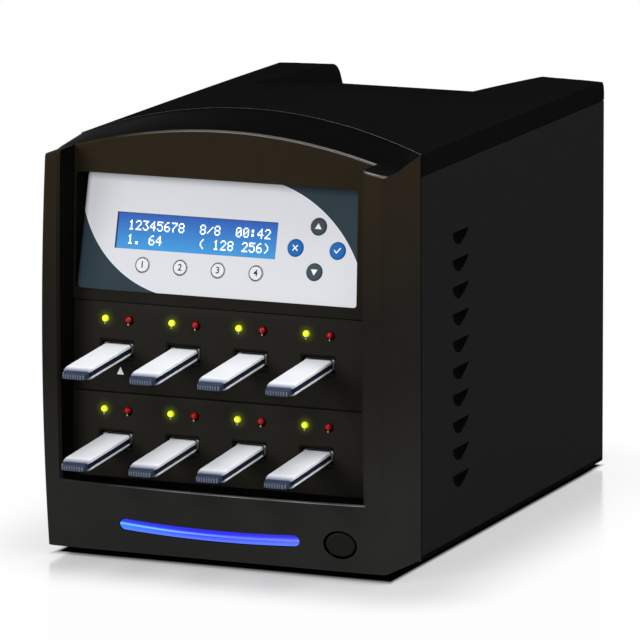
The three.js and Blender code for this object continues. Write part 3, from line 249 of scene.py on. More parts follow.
# Shader values that add, multiply and mix as numbers do
class Value:
    def __init__(self, socket):
        self.socket, self.tree = socket, socket.id_data

    def math(self, how, *others):
        node = add(self.tree, "ShaderNodeMath", dict(enumerate((self,) + others)), operation=how)
        return Value(node.outputs[0])

    __add__ = lambda self, other: self.math("ADD", other)
    __sub__ = lambda self, other: self.math("SUBTRACT", other)
    __mul__ = lambda self, other: self.math("MULTIPLY", other)
    __abs__ = lambda self: self.math("ABSOLUTE")

    def remap(self, low, high, fromLow=0.3, fromHigh=0.7, step="LINEAR"):
        node = add(self.tree, "ShaderNodeMapRange", {"Value": self, "From Min": fromLow, "From Max": fromHigh,
                                                     "To Min": low, "To Max": high}, interpolation_type=step)
        return Value(node.outputs["Result"])

    def ramp(self, low, high, first=0, last=1):  # from first to last between two lengths in millimetres
        return self.remap(first, last, low * mm, high * mm)

    def blend(self, first, second):
        node = add(self.tree, "ShaderNodeMix", {0: self, 6: first, 7: second}, data_type="RGBA")
        return Value(node.outputs[2])


def give(node, inputs):
    for key, value in inputs.items():
        socket = node.inputs[key]
        if isinstance(value, Value):
            value.tree.links.new(value.socket, socket)
        else:
            socket.default_value = value


def add(tree, kind, inputs, **settings):
    node = tree.nodes.new(kind)
    for key, value in settings.items():
        setattr(node, key, value)
    give(node, inputs)
    return node


def newFinish(name):
    material = bpy.data.materials.new(name)
    material.use_nodes = True
    return material, material.node_tree, material.node_tree.nodes["Principled BSDF"]


def local(tree, kind="Object"):
    return Value(add(tree, "ShaderNodeTexCoord", {}).outputs[kind])


def axes(tree, kind="Object"):
    return [Value(output) for output in add(tree, "ShaderNodeSeparateXYZ", {0: local(tree, kind)}).outputs]


def grain(tree, scale, detail=3, roughness=0.55, stretch=None):
    source = local(tree)
    if stretch:
        source = Value(add(tree, "ShaderNodeMapping", {"Vector": source, "Scale": stretch}).outputs[0])
    noise = {"Vector": source, "Scale": scale, "Detail": detail, "Roughness": roughness}
    return Value(add(tree, "ShaderNodeTexNoise", noise).outputs["Fac"])


def bump(shader, height, strength, depth):
    inputs = {"Strength": strength, "Distance": depth * mm, "Height": height}
    give(shader, {"Normal": Value(add(height.tree, "ShaderNodeBump", inputs).outputs[0])})


def srgb(color, times=1):  # a screen colour as linear light, made darker or lighter
    linear = [c / 255 / 12.92 if c <= 10 else ((c / 255 + 0.055) / 1.055) ** 2.4 for c in color]
    return tuple(times * share for share in linear) + (1,)


# A moulded or painted skin: a fine grain in its bump, cloudy sheen and a little dust in its colour
def mouldedFinish(name, look):
    material, tree, shader = newFinish(name)
    if {"bands", "pocket", "jambShade", "ends", "fade"} & set(look):
        x, y, z = axes(tree)
    if {"jambShade", "top", "edge"} & set(look):
        faceX, faceY, faceZ = axes(tree, "Normal")
    cloud = grain(tree, 35, 4)
    shade = cloud.remap(0, 1)
    lighter = srgb(look["color"], look.get("lift", 1.1))
    tone = shade.blend(srgb(look["color"], look.get("drop", 0.92)), lighter)
    for low, high, color in look.get("bands", ()):  # the colour above a height
        band = shade.blend(srgb(color, 0.93), srgb(color, 1.08))
        tone = z.ramp(low, high).blend(tone, band)
    tone = grain(tree, look["grain"] * 1.7, 2).remap(0, 0.12, 0.45, 0.75).blend(tone, lighter)
    if "pocket" in look:  # painted shade inside the louvres
        near, color = look["pocket"]
        tone = abs(x).ramp(near - 0.5, near - 0.2, 1, 0).blend(tone, srgb(color))
    if "jambShade" in look:  # painted shade on walls that face right, inside a limit
        limit, color = look["jambShade"]
        jambShade = x.ramp(limit - 0.2, limit + 0.2, 1, 0) * faceX.remap(0, 1, 0.55, 0.85)
        tone = jambShade.blend(tone, srgb(color))
    if "ends" in look:  # painted shade along the front end
        low, high, color = look["ends"]
        tone = y.ramp(low, high, 1, 0).blend(tone, srgb(color))
    if "top" in look:  # painted shade on what faces up
        tone = faceZ.remap(0, 1, 0.86, 0.94).blend(tone, srgb(look["top"]))
    give(shader, {"Base Color": tone, "Roughness": cloud.remap(*look["rough"]),
                  "Specular IOR Level": look["specular"]})
    if "edge" in look:  # rounded edges between the front and the top catch the light
        rising = faceZ.remap(0, 1, 0.15, 0.3) * faceZ.remap(1, 0, *look["brim"])
        edge = rising * faceY.remap(1, 0, -0.28, -0.16)
        # the edge shine weakens towards the left, a painted falloff of the lamp's highlight
        if "fade" in look:
            low, high, least = look["fade"]
            edge = edge * x.ramp(low, high, least, 1)
        give(shader, {"Specular IOR Level": edge.remap(look["specular"], look["edge"])})
    bump(shader, grain(tree, look["grain"], 3, 0.6), *look["bump"])
    return material


# Metal with fine lines along one direction
def brushedFinish(name, look):
    material, tree, shader = newFinish(name)
    lines = grain(tree, look["grain"], 4, 0.65, look["stretch"])
    sheen = lines * 0.6 + grain(tree, 60, 3) * 0.4
    give(shader, {"Base Color": lines.remap(0, 1).blend(srgb(look["color"], 0.86), srgb(look["color"])),
                  "Roughness": sheen.remap(*look["rough"]), "Metallic": 1})
    bump(shader, lines, *look["bump"])
    return material


skins = {
    # bezel: painted shade on its left jamb and on what faces up
    "bezel": dict(color=(39, 39, 37), grain=2600, rough=(0.34, 0.46), specular=0.001, bump=(0.2, 0.04),
                  bands=((40, 95, (31, 29, 25)), (130, 185, (39, 33, 24))), top=(5, 5, 5),
                  jambShade=(80, (7, 7, 6)), edge=0.62, brim=(0.86, 0.93), fade=(-70, 10, 0.18)),
    "fascia": dict(color=(29, 28, 24), grain=2600, rough=(0.4, 0.52), specular=0.02, bump=(0.2, 0.04)),
    "cover": dict(color=(14, 14, 14), grain=2100, rough=(0.34, 0.46), specular=0, bump=(0.2, 0.04),
                  edge=0.9, brim=(0.955, 0.985)),
    # side panels: painted shade inside the louvres
    "panel": dict(color=(26, 26, 26), grain=1500, rough=(0.5, 0.65), specular=0.002, bump=(0.4, 0.08),
                  # the band below 2.7 mm is a painted shadow line along the bottom edge
                  pocket=(91.6, (5, 5, 4)), bands=((2.7, 2.3, (3, 3, 3)),)),
    "rearSteel": dict(color=(28, 28, 28), grain=1500, rough=(0.5, 0.65), specular=0.05, bump=(0.4, 0.08)),
    "button": dict(color=(25, 24, 21), grain=2600, rough=(0.36, 0.48), specular=0.03, bump=(0.15, 0.03)),
    "blackPlastic": dict(color=(17, 17, 17), grain=2200, rough=(0.42, 0.58), specular=0.2, bump=(0.3, 0.06)),
    "rubber": dict(color=(14, 14, 14), grain=1700, rough=(0.75, 0.9), specular=0.1, bump=(0.5, 0.1)),
    "darkKey": dict(color=(52, 64, 74), grain=3200, rough=(0.42, 0.55), specular=0.1, bump=(0.15, 0.02),
                    lift=1.08, drop=0.93),
    "blueKey": dict(color=(0, 92, 168), grain=3200, rough=(0.4, 0.52), specular=0.1, bump=(0.15, 0.02),
                    lift=1.08, drop=0.93),
    "whiteKey": dict(color=(208, 210, 215), grain=3200, rough=(0.42, 0.55), specular=0.1, bump=(0.12, 0.02),
                     lift=1.03, drop=0.97),
    "mark": dict(color=(238, 240, 243), grain=3000, rough=(0.5, 0.6), specular=0.1, bump=(0.05, 0.01),
                 lift=1, drop=0.98),
    "darkMark": dict(color=(26, 30, 40), grain=3000, rough=(0.5, 0.6), specular=0.1, bump=(0.05, 0.01),
                     lift=1.05, drop=0.95),
    # sleeve: painted shade along its sloped front end
    "sleeve": dict(color=(222, 224, 229), grain=700, rough=(0.34, 0.46), specular=0.3, bump=(0.06, 0.02),
                   lift=1, drop=0.95, ends=(-47.5, -43.8, (84, 92, 114))),
    "core": dict(color=(8, 15, 36), grain=2400, rough=(0.3, 0.42), specular=0.03, bump=(0.1, 0.03)),
    "nose": dict(color=(40, 48, 65), grain=2400, rough=(0.3, 0.42), specular=0.1, bump=(0.12, 0.03)),
    # rib: lighter than the nose, a painted highlight on the ribs
    "rib": dict(color=(88, 96, 116), grain=2400, rough=(0.3, 0.42), specular=0.2, bump=(0.1, 0.03)),
    "board": dict(color=(26, 84, 48), grain=900, rough=(0.3, 0.5), specular=0.5, bump=(0.3, 0.1), lift=1.4),
    # port boards behind the plates: painted shade, near black
    "shadowedBoard": dict(color=(9, 11, 9), grain=900, rough=(0.4, 0.6), specular=0.02, bump=(0.3, 0.1)),
    # lip: a bright painted highlight on the socket lip's sides
    "lip": dict(color=(196, 198, 202), grain=900, rough=(0.3, 0.42), specular=0.35, bump=(0.06, 0.02)),
    # the pale tab under each lamp is a painted glint
    "glintTab": dict(color=(150, 150, 140), grain=2600, rough=(0.4, 0.5), specular=0.2, bump=(0.1, 0.02)),
    "ribbon": dict(color=(140, 143, 149), grain=1500, rough=(0.5, 0.65), specular=0.3, bump=(0.2, 0.05)),
    "tongue": dict(color=(20, 20, 22), grain=2000, rough=(0.4, 0.5), specular=0.2, bump=(0.1, 0.05)),
}
metals = {
    "shell": dict(color=(138, 140, 144), grain=900, stretch=(1, 6, 1), rough=(0.16, 0.3), bump=(0.08, 0.02)),
    "steel": dict(color=(150, 153, 156), grain=240, stretch=(1, 5, 5), rough=(0.3, 0.5), bump=(0.15, 0.02)),
    "wire": dict(color=(176, 178, 181), grain=600, stretch=(3, 3, 3), rough=(0.2, 0.34), bump=(0.06, 0.02)),
}
skin = {name: mouldedFinish(name, look) for name, look in skins.items()}
metal = {name: brushedFinish(name, look) for name, look in metals.items()}
print("finishes ready:", len(bpy.data.materials))


# Front bezel: a bowed chin and rails round a leaning fascia, under an arched brow
bezel = dict(half=91.2, back=41.9, rail=10.4, chamfer=1.4, chin=39, ledgeDrop=1.2, ledgeSag=1, round=1.4,
             brow=11, roofFront=(200, 14.9), roofBack=(203.5, 17.5), bow=(9.1, 98, 123),
             face=(9.7, 118, 135), sweep=14, corner=(1.6, 90), under=(2.6, 0.6), wall=2.5, floor=5.1,
             frontWall=5, window=(-79.6, 71.2, 131.9, 190.4, 2.2), well=(2, 2.5, 40.4),
             seat=(80.8, 2.6, 35.9, 126.7), opening=(76.8, 21, 40.3, 122.3))


def frontAt(x, z):
    deep, high, half = bezel["bow"]
    edge = -deep * (1 - ((z - high) / half) ** 2)
    deep, high, half = bezel["face"]
    middle = -deep * (1 - ((z - high) / half) ** 4)
    share = abs(x) / bezel["half"]
    back, power = bezel["corner"]
    return middle + max(0, edge - middle) * share ** bezel["sweep"] + back * share ** power


def roofAt(x, y):
    run = max(0, (y - bezel["brow"]) / (bezel["back"] - bezel["brow"]))
    side, rise = (front + (back - front) * run for front, back in zip(bezel["roofFront"], bezel["roofBack"]))
    return side + rise * (1 - (x / bezel["half"]) ** 2)


def fasciaAt(z):
    return fasciaBack + z * math.tan(math.radians(fasciaLean))


def underAt(y):
    front, back = bezel["under"]
    return front - (front - back) / bezel["back"] * y


# The skin is a grid of rows across the bezel, from the foot of the chin over the brow to the back.
# Across a row, the rails stand in front, a lip turns round their inner edge, and the face lies deep.
def bezelSkin():
    c = bezel
    inner = c["half"] - c["rail"]
    shares = (0.905, 0.925, 0.945, 0.96, 0.972, 0.98, 0.986, 0.991, 0.9955, 1)
    rail = [inner + c["chamfer"]] + [s * c["half"] for s in shares]
    across = [(-x, "rail") for x in reversed(rail)] + [(-inner, "lip"), (-inner, "wall")]
    across += [(x, "face") for x in spread(-inner, inner, 36)[1:-1]]
    across += [(inner, "wall"), (inner, "lip")] + [(x, "rail") for x in rail]
    ledgeBack, ledgeFront, ledgeHeight = fasciaAt(c["chin"]), -10.7, 37
    fasciaTop = fasciaAt(roofAt(0, 12))
    roofStart = fasciaTop + c["round"]
    deep = ("face", "wall")
    up = lambda share: c["round"] * math.sin(math.pi / 2 * share)
    back = lambda share: c["round"] * (1 - math.cos(math.pi / 2 * share))

    def ledgeTop(x, y):
        fall = (ledgeBack - y) / (ledgeBack - ledgeFront)
        return c["chin"] - fall * (c["ledgeDrop"] + c["ledgeSag"] * (1 - min(1, abs(x) / inner) ** 2))

    def chinTop(x):
        return ledgeTop(x, frontAt(x, ledgeHeight)) - c["round"]

    def browFoot(x, kind):
        return roofAt(x, fasciaTop if kind in deep else 0) - c["round"]

    def depthAt(x, z, kind):
        return fasciaAt(z) if kind in deep else frontAt(x, z) + (c["chamfer"] if kind == "lip" else 0)

    def onChin(x, kind, share):
        low = underAt(frontAt(x, c["under"][0]))
        z = low + (chinTop(x) - low) * share
        return x, frontAt(x, z), z

    def onLedgeEdge(x, kind, share):
        z = chinTop(x) + up(share)
        turnIn = {"face": back(share), "wall": back(share), "lip": c["chamfer"] * share, "rail": 0}[kind]
        return x, frontAt(x, z) + turnIn, z

    def onLedge(x, kind, share):
        x, y, z = onLedgeEdge(x, kind, 1)
        z += (c["chin"] - z) * share
        y = y + (ledgeBack - y) * share if kind in deep else depthAt(x, z, kind)
        return x, y, ledgeTop(x, y) if kind == "face" else z

    def onRail(x, kind, share):
        z = c["chin"] + (browFoot(x, kind) - c["chin"]) * share
        return x, depthAt(x, z, kind), z

    def onBrow(x, kind, share):
        z = browFoot(x, kind) + up(share)
        return x, depthAt(x, z, kind) + back(share), z

    def onRoof(x, kind, y):
        x, firstY, firstZ = onBrow(x, kind, 1)
        z = roofAt(x, max(y, firstY)) if y > roofStart else firstZ
        return x, max(y, firstY), z

    stages = [(onChin, spread(0, 1, 9))]
    stages += [(point, spread(0, 1, count)[1:])
               for point, count in ((onLedgeEdge, 5), (onLedge, 3), (onRail, 26), (onBrow, 5))]
    stages.append((onRoof, spread(roofStart, c["back"], 6)))
    rows = [[point(x, kind, step) for x, kind in across] for point, steps in stages for step in steps]
    right, left = [(x, c["back"], underAt(c["back"])) for x in (c["half"], -c["half"])]
    sides = [[row[0] for row in rows] + [left], [row[-1] for row in rows] + [right]]
    bm = patched([rows], sides + [rows[0] + [right, left], rows[-1] + [right, left]], 0.004)
    bmesh.ops.triangulate(bm, faces=[f for f in bm.faces if len(f.verts) > 4])
    return weld(bm, 0.0005)


def inFrame(bm, place):  # from the frame of a leaning piece to the machine's own
    flat = machine.inverted() @ place
    flat.translation = flat.translation / mm
    return moved(bm, matrix=flat)


# What the chin holds: the light bar, the power button and the gap round each
chin = dict(bar=(-50.1, 46.2, 17.3, 16.5, 1.6, 2.75), barBack=6, barGap=0.3, setBack=0.2,
            button=(68.1, 16.6, 7.8, 6.1), buttonBack=5.5, buttonGap=1.1, buttonTravel=5)


def barMiddle(x):
    left, right, zLeft, zRight, sag, half = chin["bar"]
    share = min(1, max(0, (x - left - half) / (right - left - 2 * half)))
    return zLeft + (zRight - zLeft) * share - sag * 4 * share * (1 - share)


def barShape(grow):
    left, right, zLeft, zRight, sag, half = chin["bar"]
    stations = spread(left + half, right - half, 40)
    low = [(x, barMiddle(x) - half - grow) for x in stations]
    high = [(x, barMiddle(x) + half + grow) for x in reversed(stations)]

    def end(x, z, start):
        angles = [math.radians(start + 180 * i / 12) for i in range(1, 12)]
        return [(x + (half + grow) * math.cos(a), z + (half + grow) * math.sin(a)) for a in angles]
    return low + end(right - half, zRight, -90) + high + end(left + half, zLeft, 90)


def makeBezel():
    c = bezel
    left, right, low, high, radius = c["window"]
    inner, floor = c["half"] - c["wall"], c["floor"]
    behind = lambda z: fasciaAt(z) + c["frontWall"]
    # the room behind the face, under the arch of the brow; cutters reach well past what they cut
    arch = [(-inner, floor), (inner, floor)]
    arch += [(x, roofAt(x, 20) - c["wall"]) for x in spread(inner, -inner, 24)]
    room = extruded([(behind(floor), floor), (45, floor), (45, 240), (behind(240), 240)], -inner, inner, "X")
    body = combined(bezelSkin(), combined(room, extruded(arch, 0, 60, "Y"), how="INTERSECT"))
    # the well that the tilted keypad lies in
    wall, front, back = c["well"]
    well = inFrame(slab(left - wall, right + wall, front, back, low - wall, high + wall), fascia)
    well = combined(well, inFrame(slab(-100, 100, 0.2, 90, -30, 130), keypad))
    body = combined(body, well, how="UNION")
    wall += 0.1
    seatHalf, seatDeep, seatLow, seatHigh = c["seat"]
    openHalf, openDeep, openLow, openHigh = c["opening"]
    x, z, wide, tall = chin["button"]
    gap = chin["buttonGap"]
    cuts = [inFrame(slab(left - wall, right + wall, 0.2, 84, -wall, 62), keypad),
            inFrame(extruded(roundedRect(left, right, low, high, radius), -1, 45, "Y"), fascia),
            inFrame(slab(-seatHalf, seatHalf, -1, seatDeep, seatLow, seatHigh), fascia),
            inFrame(slab(-openHalf, openHalf, 0, openDeep, openLow, openHigh), fascia),
            extruded(barShape(chin["barGap"]), -12, chin["barBack"], "Y"),
            disc(x, z, wide + gap, -12, chin["buttonBack"] + chin["buttonTravel"], radiusZ=tall + gap)]
    finished(combined(body, *cuts), "bezel_shell", skin["bezel"], "front_bezel", "bezel", corner=30)


makeBezel()
print("bezel made")

# Top cover: a crown that falls towards the rear, with a sunk trough between two ridges
cover = dict(half=91.6, front=42.2, rear=296, seam=193, side=203.8, rise=17.6, fallShare=0.9, fallPower=1.7,
             rearDrop=0.9, trough=56.4, draft=0.26, troughRear=193.2, slope=0.147, rearRound=6,
             edgeRound=0.7, wall=1.8, sideWall=3.3, rearWall=4, drop=0)


def crownAt(c, x, y):
    share = min(1, max(0, (y - cover["front"]) / (cover["rear"] - cover["front"])))
    rise = c["rise"] * (1 - c["fallShare"] * share ** c["fallPower"])
    return c["side"] - c["drop"] - c["rearDrop"] * share ** 3 + rise * (1 - (x / cover["half"]) ** 2)


def coverSkin(c):
    half, trough, seam = c["half"], c["trough"], c["seam"]
    front, rear, radius = c["front"], c["rear"], c["rearRound"]
    top = crownAt(c, trough, rear)
    floorAt = lambda y: c["troughRear"] + c["slope"] * (cover["rear"] - y) - c["drop"]

    def creaseAt(x):  # where the trough's floor leaves the crown, found by halving
        low, high = front, rear
        for _ in range(40):
            middle = (low + high) / 2
            low, high = (middle, high) if floorAt(middle) > crownAt(c, x, middle) else (low, middle)
        return high

    def skinAt(x, y):  # the crown, with the rear edge rounded off
        into = y - (rear - radius)
        rounded = top - radius + math.sqrt(max(0, radius ** 2 - into ** 2)) if into > 0 else math.inf
        return min(crownAt(c, x, y), rounded)

    def row(step, share):
        def depth(x):
            crease = creaseAt(min(abs(x), trough))
            if step == "front":
                return front + (crease - front) * share
            if step == "back":
                return crease + (rear - radius - crease) * share
            return rear - radius + radius * math.sin(math.pi / 2 * share)
        y = depth(trough)
        rim = trough if step == "front" else trough + max(0, skinAt(trough + 2, y) - floorAt(y)) * c["draft"]
        outer = [(x, y, skinAt(x, y)) for x in spread(rim, half, 12)]
        inner = [(x, depth(x), skinAt(x, depth(x)) if step == "front" else floorAt(depth(x)))
                 for x in spread(-trough, trough, 28)]
        return [(-x, y, z) for x, y, z in reversed(outer)] + inner + outer

    rows = [row("front", s) for s in spread(0, 1, 8)] + [row("back", s) for s in spread(0, 1, 16)[1:]]
    rows += [row("arc", s) for s in spread(0, 1, 7)[1:]]
    ends = [end + [(x, end[0][1], seam) for x in (half, -half)] for end in (rows[0], rows[-1])]
    for side, x in ((0, -half), (-1, half)):
        ends.append([row[side] for row in rows] + [(x, y, seam) for y in (rear, front)])
    ends.append([(x, y, seam) for x, y in ((-half, front), (half, front), (half, rear), (-half, rear))])
    return patched([rows], ends, 0.004)


def makeCover():
    c = cover
    body = coverSkin(c)
    roundEdges(body, c["edgeRound"], 3, 24, keep=lambda e: min(v.co.z for v in e.verts) > c["seam"] + 0.05)
    bmesh.ops.triangulate(body, faces=[f for f in body.faces if len(f.verts) > 4])
    inside = dict(c, half=c["half"] - c["sideWall"], front=c["front"] - 1, rear=c["rear"] - c["rearWall"],
                  drop=c["wall"], trough=c["trough"] + c["wall"], seam=c["seam"] - 1)
    finished(combined(body, coverSkin(inside)), "lid", skin["cover"], "top_cover", "cover", corner=30)


makeCover()
print("lid made")

# Side panels with pressed louvres, each the top half of a flattened ball
side = dict(front=42.2, rear=296, bottom=0.3, top=192.7, face=91.6, thick=1, chamfer=0.7, count=10,
            pitch=13.7, topLouvre=157.9, depth=94, half=11, tall=7.2, taper=0.5, press=2.7)


def louvreBall(z, grow):
    c = side
    ball = bmesh.new()
    bmesh.ops.create_uvsphere(ball, u_segments=40, v_segments=24, radius=1)
    bmesh.ops.scale(ball, vec=(c["press"] + grow, c["half"] + grow, c["tall"] + grow), verts=ball.verts)
    for vert in ball.verts:
        vert.co.z *= 1 - c["taper"] * max(0, vert.co.y) / c["half"]
    outer = c["face"] + (-c["thick"] / 2 if grow else 1)
    reach = c["half"] + 3
    below = slab(c["face"] - c["press"] - 3, outer, c["depth"] - reach, c["depth"] + reach, z - 12, z)
    return combined(moved(ball, c["face"], c["depth"], z), below, how="INTERSECT")


def makePanels():
    c = side
    outline = [(c["front"], c["bottom"]), (c["rear"] - c["chamfer"], c["bottom"]),
               (c["rear"], c["bottom"] + c["chamfer"]), (c["rear"], c["top"]), (c["front"], c["top"])]
    right = roundEdges(extruded(outline, c["face"] - c["thick"], c["face"], "X"), 0.3, 3)
    for grow, how in ((c["thick"], "UNION"), (0, "DIFFERENCE")):
        balls = [louvreBall(c["topLouvre"] - i * c["pitch"], grow) for i in range(c["count"])]
        right = combined(right, *balls, how=how)
    left = moved(right.copy(), matrix=Matrix.Scale(-1, 4, (1, 0, 0)))
    bmesh.ops.reverse_faces(left, faces=left.faces)
    for name, body in (("right", right), ("left", left)):
        finished(body, "side_" + name, skin["panel"], name + "_side_panel", "panel", corner=26)


makePanels()
print("sides made")

# Port plates, with a painted glow where each lit lamp throws its light on them
plate = dict(half=80.4, thick=2.2, top=126.3, tall=44.7, edge=0.4, groove=(18.4, 10.8, 0.9, 0.5),
             grooveDeep=1.2, cut=(-8.5, 8.9, -3.4, 4.6, 0.9), redHole=(0.45, -0.45, 2.3), lampUp=15.4,
             lampAside=6.3, lampHole=1.95, lipHalf=76, glow=(0.42, 0.55, 0.0, 1), glowReach=2.7,
             glowStrength=0.2)


def glowingPlate(row):
    material = skin["fascia"].copy()
    material.name = "fascia_" + row
    x, y, z = axes(material.node_tree)
    first, pitch = (portXs[0] - plate["lampAside"]) * mm, (portXs[1] - portXs[0]) * mm
    port = (x * (1 / pitch) - first / pitch).math("ROUND").math("MAXIMUM", 0).math("MINIMUM", len(portXs) - 1)
    across = x - (port * pitch + first)
    up = z - (portHeights[row] + plate["lampUp"]) * mm
    fade = ((across * across + up * up) * (-1 / (plate["glowReach"] * mm) ** 2)).math("EXPONENT")
    give(material.node_tree.nodes["Principled BSDF"],
         {"Emission Color": plate["glow"], "Emission Strength": fade * plate["glowStrength"]})
    return material


def makePlate(row):
    c, height = plate, portHeights[row]
    low = c["top"] - (portHeights["upper"] - height) - c["tall"]
    body = roundEdges(slab(-c["half"], c["half"], 0, c["thick"], low, low + c["tall"]), c["edge"], 3)
    wide, tall, radius, groove = c["groove"]
    left, right, under, over, inner = c["cut"]
    aside, up, hole = c["redHole"]
    lampZ, past = height + c["lampUp"], 4
    cuts = []
    for x in portXs:
        cuts.append(combined(pad(x, height, wide, tall, radius, -1, c["grooveDeep"]),
                             pad(x, height, wide - 2 * groove, tall - 2 * groove, radius * 0.6, -2, 2)))
        mouth = roundedRect(x + left, x + right, height + under, height + over, inner)
        cuts.append(extruded(mouth, -1, past, "Y"))
        cuts.append(disc(x - c["lampAside"], lampZ, c["lampHole"], -1, past, 32))
        cuts.append(disc(x + c["lampAside"] + aside, lampZ + up, hole, -1, past, 32))
    body = combined(body, gathered(cuts))
    if row == "upper":  # a lip behind the split between the plates
        half, thick = c["lipHalf"], c["thick"]
        lip = combined(slab(-half, half, thick - 0.2, thick + 1, low, low + 2),
                       slab(-half, half, thick + 0.2, thick + 1, low - 2.2, low + 0.5), how="UNION")
        body = combined(body, lip, how="UNION")
    finished(body, "port_plate_" + row, glowingPlate(row), "usb_panel_" + row, "fascia", place=fascia,
             even=False)


for row in portHeights:
    makePlate(row)

# Port sockets: a flared steel lip, its shell and the contact tongue
socket = dict(shadeUp=2.45, lip=(16.4, 6.4, 0.8), front=3.0, lipDepth=4.4, flare=(14.6, 5.7, 0.6),
              flareDepth=3.6, shell=(13.7, 6.2, 0.5), depth=15, mouth=(12.6, 5.1, 0.4), mouthDepth=13.2,
              tongue=(10.4, 1.1, 0.85), leaf=(3.4, 2.62, 1.1, 0.12))


def socketMesh():
    c = socket
    before = c["front"] - 1
    lip = roundEdges(pad(0, 0, *c["lip"], c["front"], c["lipDepth"]), 0.22, 3, 60)
    body = combined(lip, pad(0, 0, *c["shell"], c["front"] + 0.3, c["depth"]), how="UNION")
    body = combined(body, pad(0, 0, *c["flare"], before, c["flareDepth"]),
                    pad(0, 0, *c["mouth"], before, c["mouthDepth"]))
    width, thick, middle = c["tongue"]
    tongue = slab(-width / 2, width / 2, c["lipDepth"], c["mouthDepth"] + 0.3, middle - thick / 2,
                  middle + thick / 2)
    roundEdges(tongue, 0.15, 2)
    aside, up, half, thin = c["leaf"]  # spring leaves in the shell
    leaves = [slab(x - half, x + half, 4, 8, z - thin, z + thin) for x in (-aside, aside) for z in (-up, up)]
    for height in (-c["shadeUp"], c["shadeUp"]):  # painted shade over and under the opening, a painted highlight at its sides
        sliced(body, (0, 0, 1), (0, 0, height))
    for face in body.faces:
        middle = face.calc_center_median()
        front = middle.y < c["lipDepth"] + 0.01
        face.material_index = 1 if abs(middle.z) > c["shadeUp"] else 2 if front else 0
    return gathered([body, tinted(tongue, 1)] + [tinted(leaf, 0) for leaf in leaves])


socketFinishes = [metal["shell"], skin["tongue"], skin["lip"]]
repeated(socketMesh(), "port", "usb_socket", portPlaces, socketFinishes, "shell", even=False)
print("ports made")

# Flash drives: a satin top sheet and a thin bottom sheet over a dark core, with a ribbed nose
drive = dict(half=7.1, tall=2.6, rear=2.6, front=-47.7, slope=(5, 1.15), top=1.5, bottom=0.9, core=6.4,
             corner=1.5, edge=0.75, nose=-52.25, noseSize=(6.55, -2.0, 1.4), noseRound=3.1,
             line=(-0.55, -0.25, 0.25), ribs=9, ribPitch=1.32, rib=0.46, ribStraight=4.1, ribCurl=0.28,
             plug=(12, 4.5, 0.4), plugBack=10.8, plugSlot=(11, 1.8, 0.85))


def driveMesh():
    c = drive
    half, tall, front, rear = c["half"], c["tall"], c["front"], c["rear"]
    upright = lambda e: abs(e.verts[0].co.z - e.verts[1].co.z) > 0.5
    top = roundEdges(slab(-half, half, front, rear, tall - c["top"], tall), c["corner"], 5, keep=upright)
    roundEdges(top, c["edge"], 4, 50, keep=lambda e: min(v.co.z for v in e.verts) > tall - 0.01)
    reach, fall = c["slope"]
    for share in (0.15, 0.35, 0.55, 0.8, 1):
        sliced(top, (0, 1, 0), (0, front + reach * share, 0))
    for vert in top.verts:  # the top sheet slopes down to its front edge
        near = max(0, front + reach - vert.co.y) / reach
        if vert.co.z > tall - 0.8:
            vert.co.z -= fall * near ** 2
    low = slab(-half, half, front + 0.3, rear, -tall, -tall + c["bottom"])
    roundEdges(low, c["corner"], 5, keep=upright)
    roundEdges(low, 0.3, 3, 50, keep=lambda e: max(v.co.z for v in e.verts) < -tall + 0.01)
    wide = c["core"]
    core = slab(-wide, wide, front - 0.4, rear - 0.1, -tall + c["bottom"], tall - c["top"])
    roundEdges(core, 0.9, 4, keep=upright)
    lineLow, lineHigh, proud = c["line"]
    line = slab(-wide - proud, wide + proud, front + 2, rear - 2, lineLow, lineHigh)
    wide, under, over = c["noseSize"]
    nose = roundedRect(-wide, wide, c["nose"] + 0.3, front + 2.5, c["noseRound"], 10)
    nose = roundEdges(extruded(nose, under, over, "Z"), 0.9, 4, 60)
    r = c["rib"]
    profile = [(0, -1.7), (r * 0.7, -1.6), (r, -1.2), (r, 0.2), (r * 0.7, 0.5), (0, 0.6)]
    ribs = []
    for i in range(c["ribs"]):
        x = (i - (c["ribs"] - 1) / 2) * c["ribPitch"]
        y = c["nose"] + r + max(0, abs(x) - c["ribStraight"]) ** 2 * c["ribCurl"]
        ribs.append(tinted(moved(turned(profile, 10, "Z"), x, y), 4))
    wide, deep, z = c["plugSlot"]
    plug = combined(pad(0, 0, *c["plug"], rear - 1, c["plugBack"]),
                    slab(-wide / 2, wide / 2, rear + 0.5, c["plugBack"] + 1, z - deep / 2, z + deep / 2))
    tints = ((top, 0), (low, 0), (core, 1), (line, 2), (nose, 2), (plug, 3))
    return gathered([tinted(bm, index) for bm, index in tints] + ribs)


driveFinishes = [skin["sleeve"], skin["core"], skin["nose"], metal["shell"], skin["rib"]]
repeated(driveMesh(), "stick", "flash_drive", portPlaces, driveFinishes, "drive", rides=True, corner=35)
print("drives made")

# Lamps: green ones lit, red ones dark but for a faint painted glow, each strip on its carrier behind the
# plate
lamp = dict(radius=1.7, proud=1.9, back=7.2, carrier=(4.2, 1.95, 3.85), stem=(0.85, -0.2, 3.8),
            glintTab=(-0.61, 0.11, -0.22, 0.3, -2.9, -1.95), tabEdge=0.12, rim=(0.42, -0.3), dome=(0.3, 1.2),
            green=(222, 240, 48), greenGlow=0.95, red=(150, 6, 8), redGlow=0.12)


def lampFinish(color):
    material, tree, shader = newFinish(color + "Lamp")
    x, y, z = axes(tree)
    share, rimDepth = lamp["rim"]
    rim = srgb(lamp[color], share)
    tone = y.ramp(-lamp["proud"], rimDepth).blend(srgb(lamp[color]), rim)
    tone = grain(tree, 1400, 2).remap(0, 0.1).blend(tone, rim)
    onlyDome = y.ramp(*lamp["dome"], lamp[color + "Glow"], 0)  # the carrier stays dark
    give(shader, {"Base Color": tone, "Emission Color": tone, "Emission Strength": onlyDome,
                  "Roughness": 0.14, "Coat Weight": 0.1, "Specular IOR Level": 0.12})
    return material


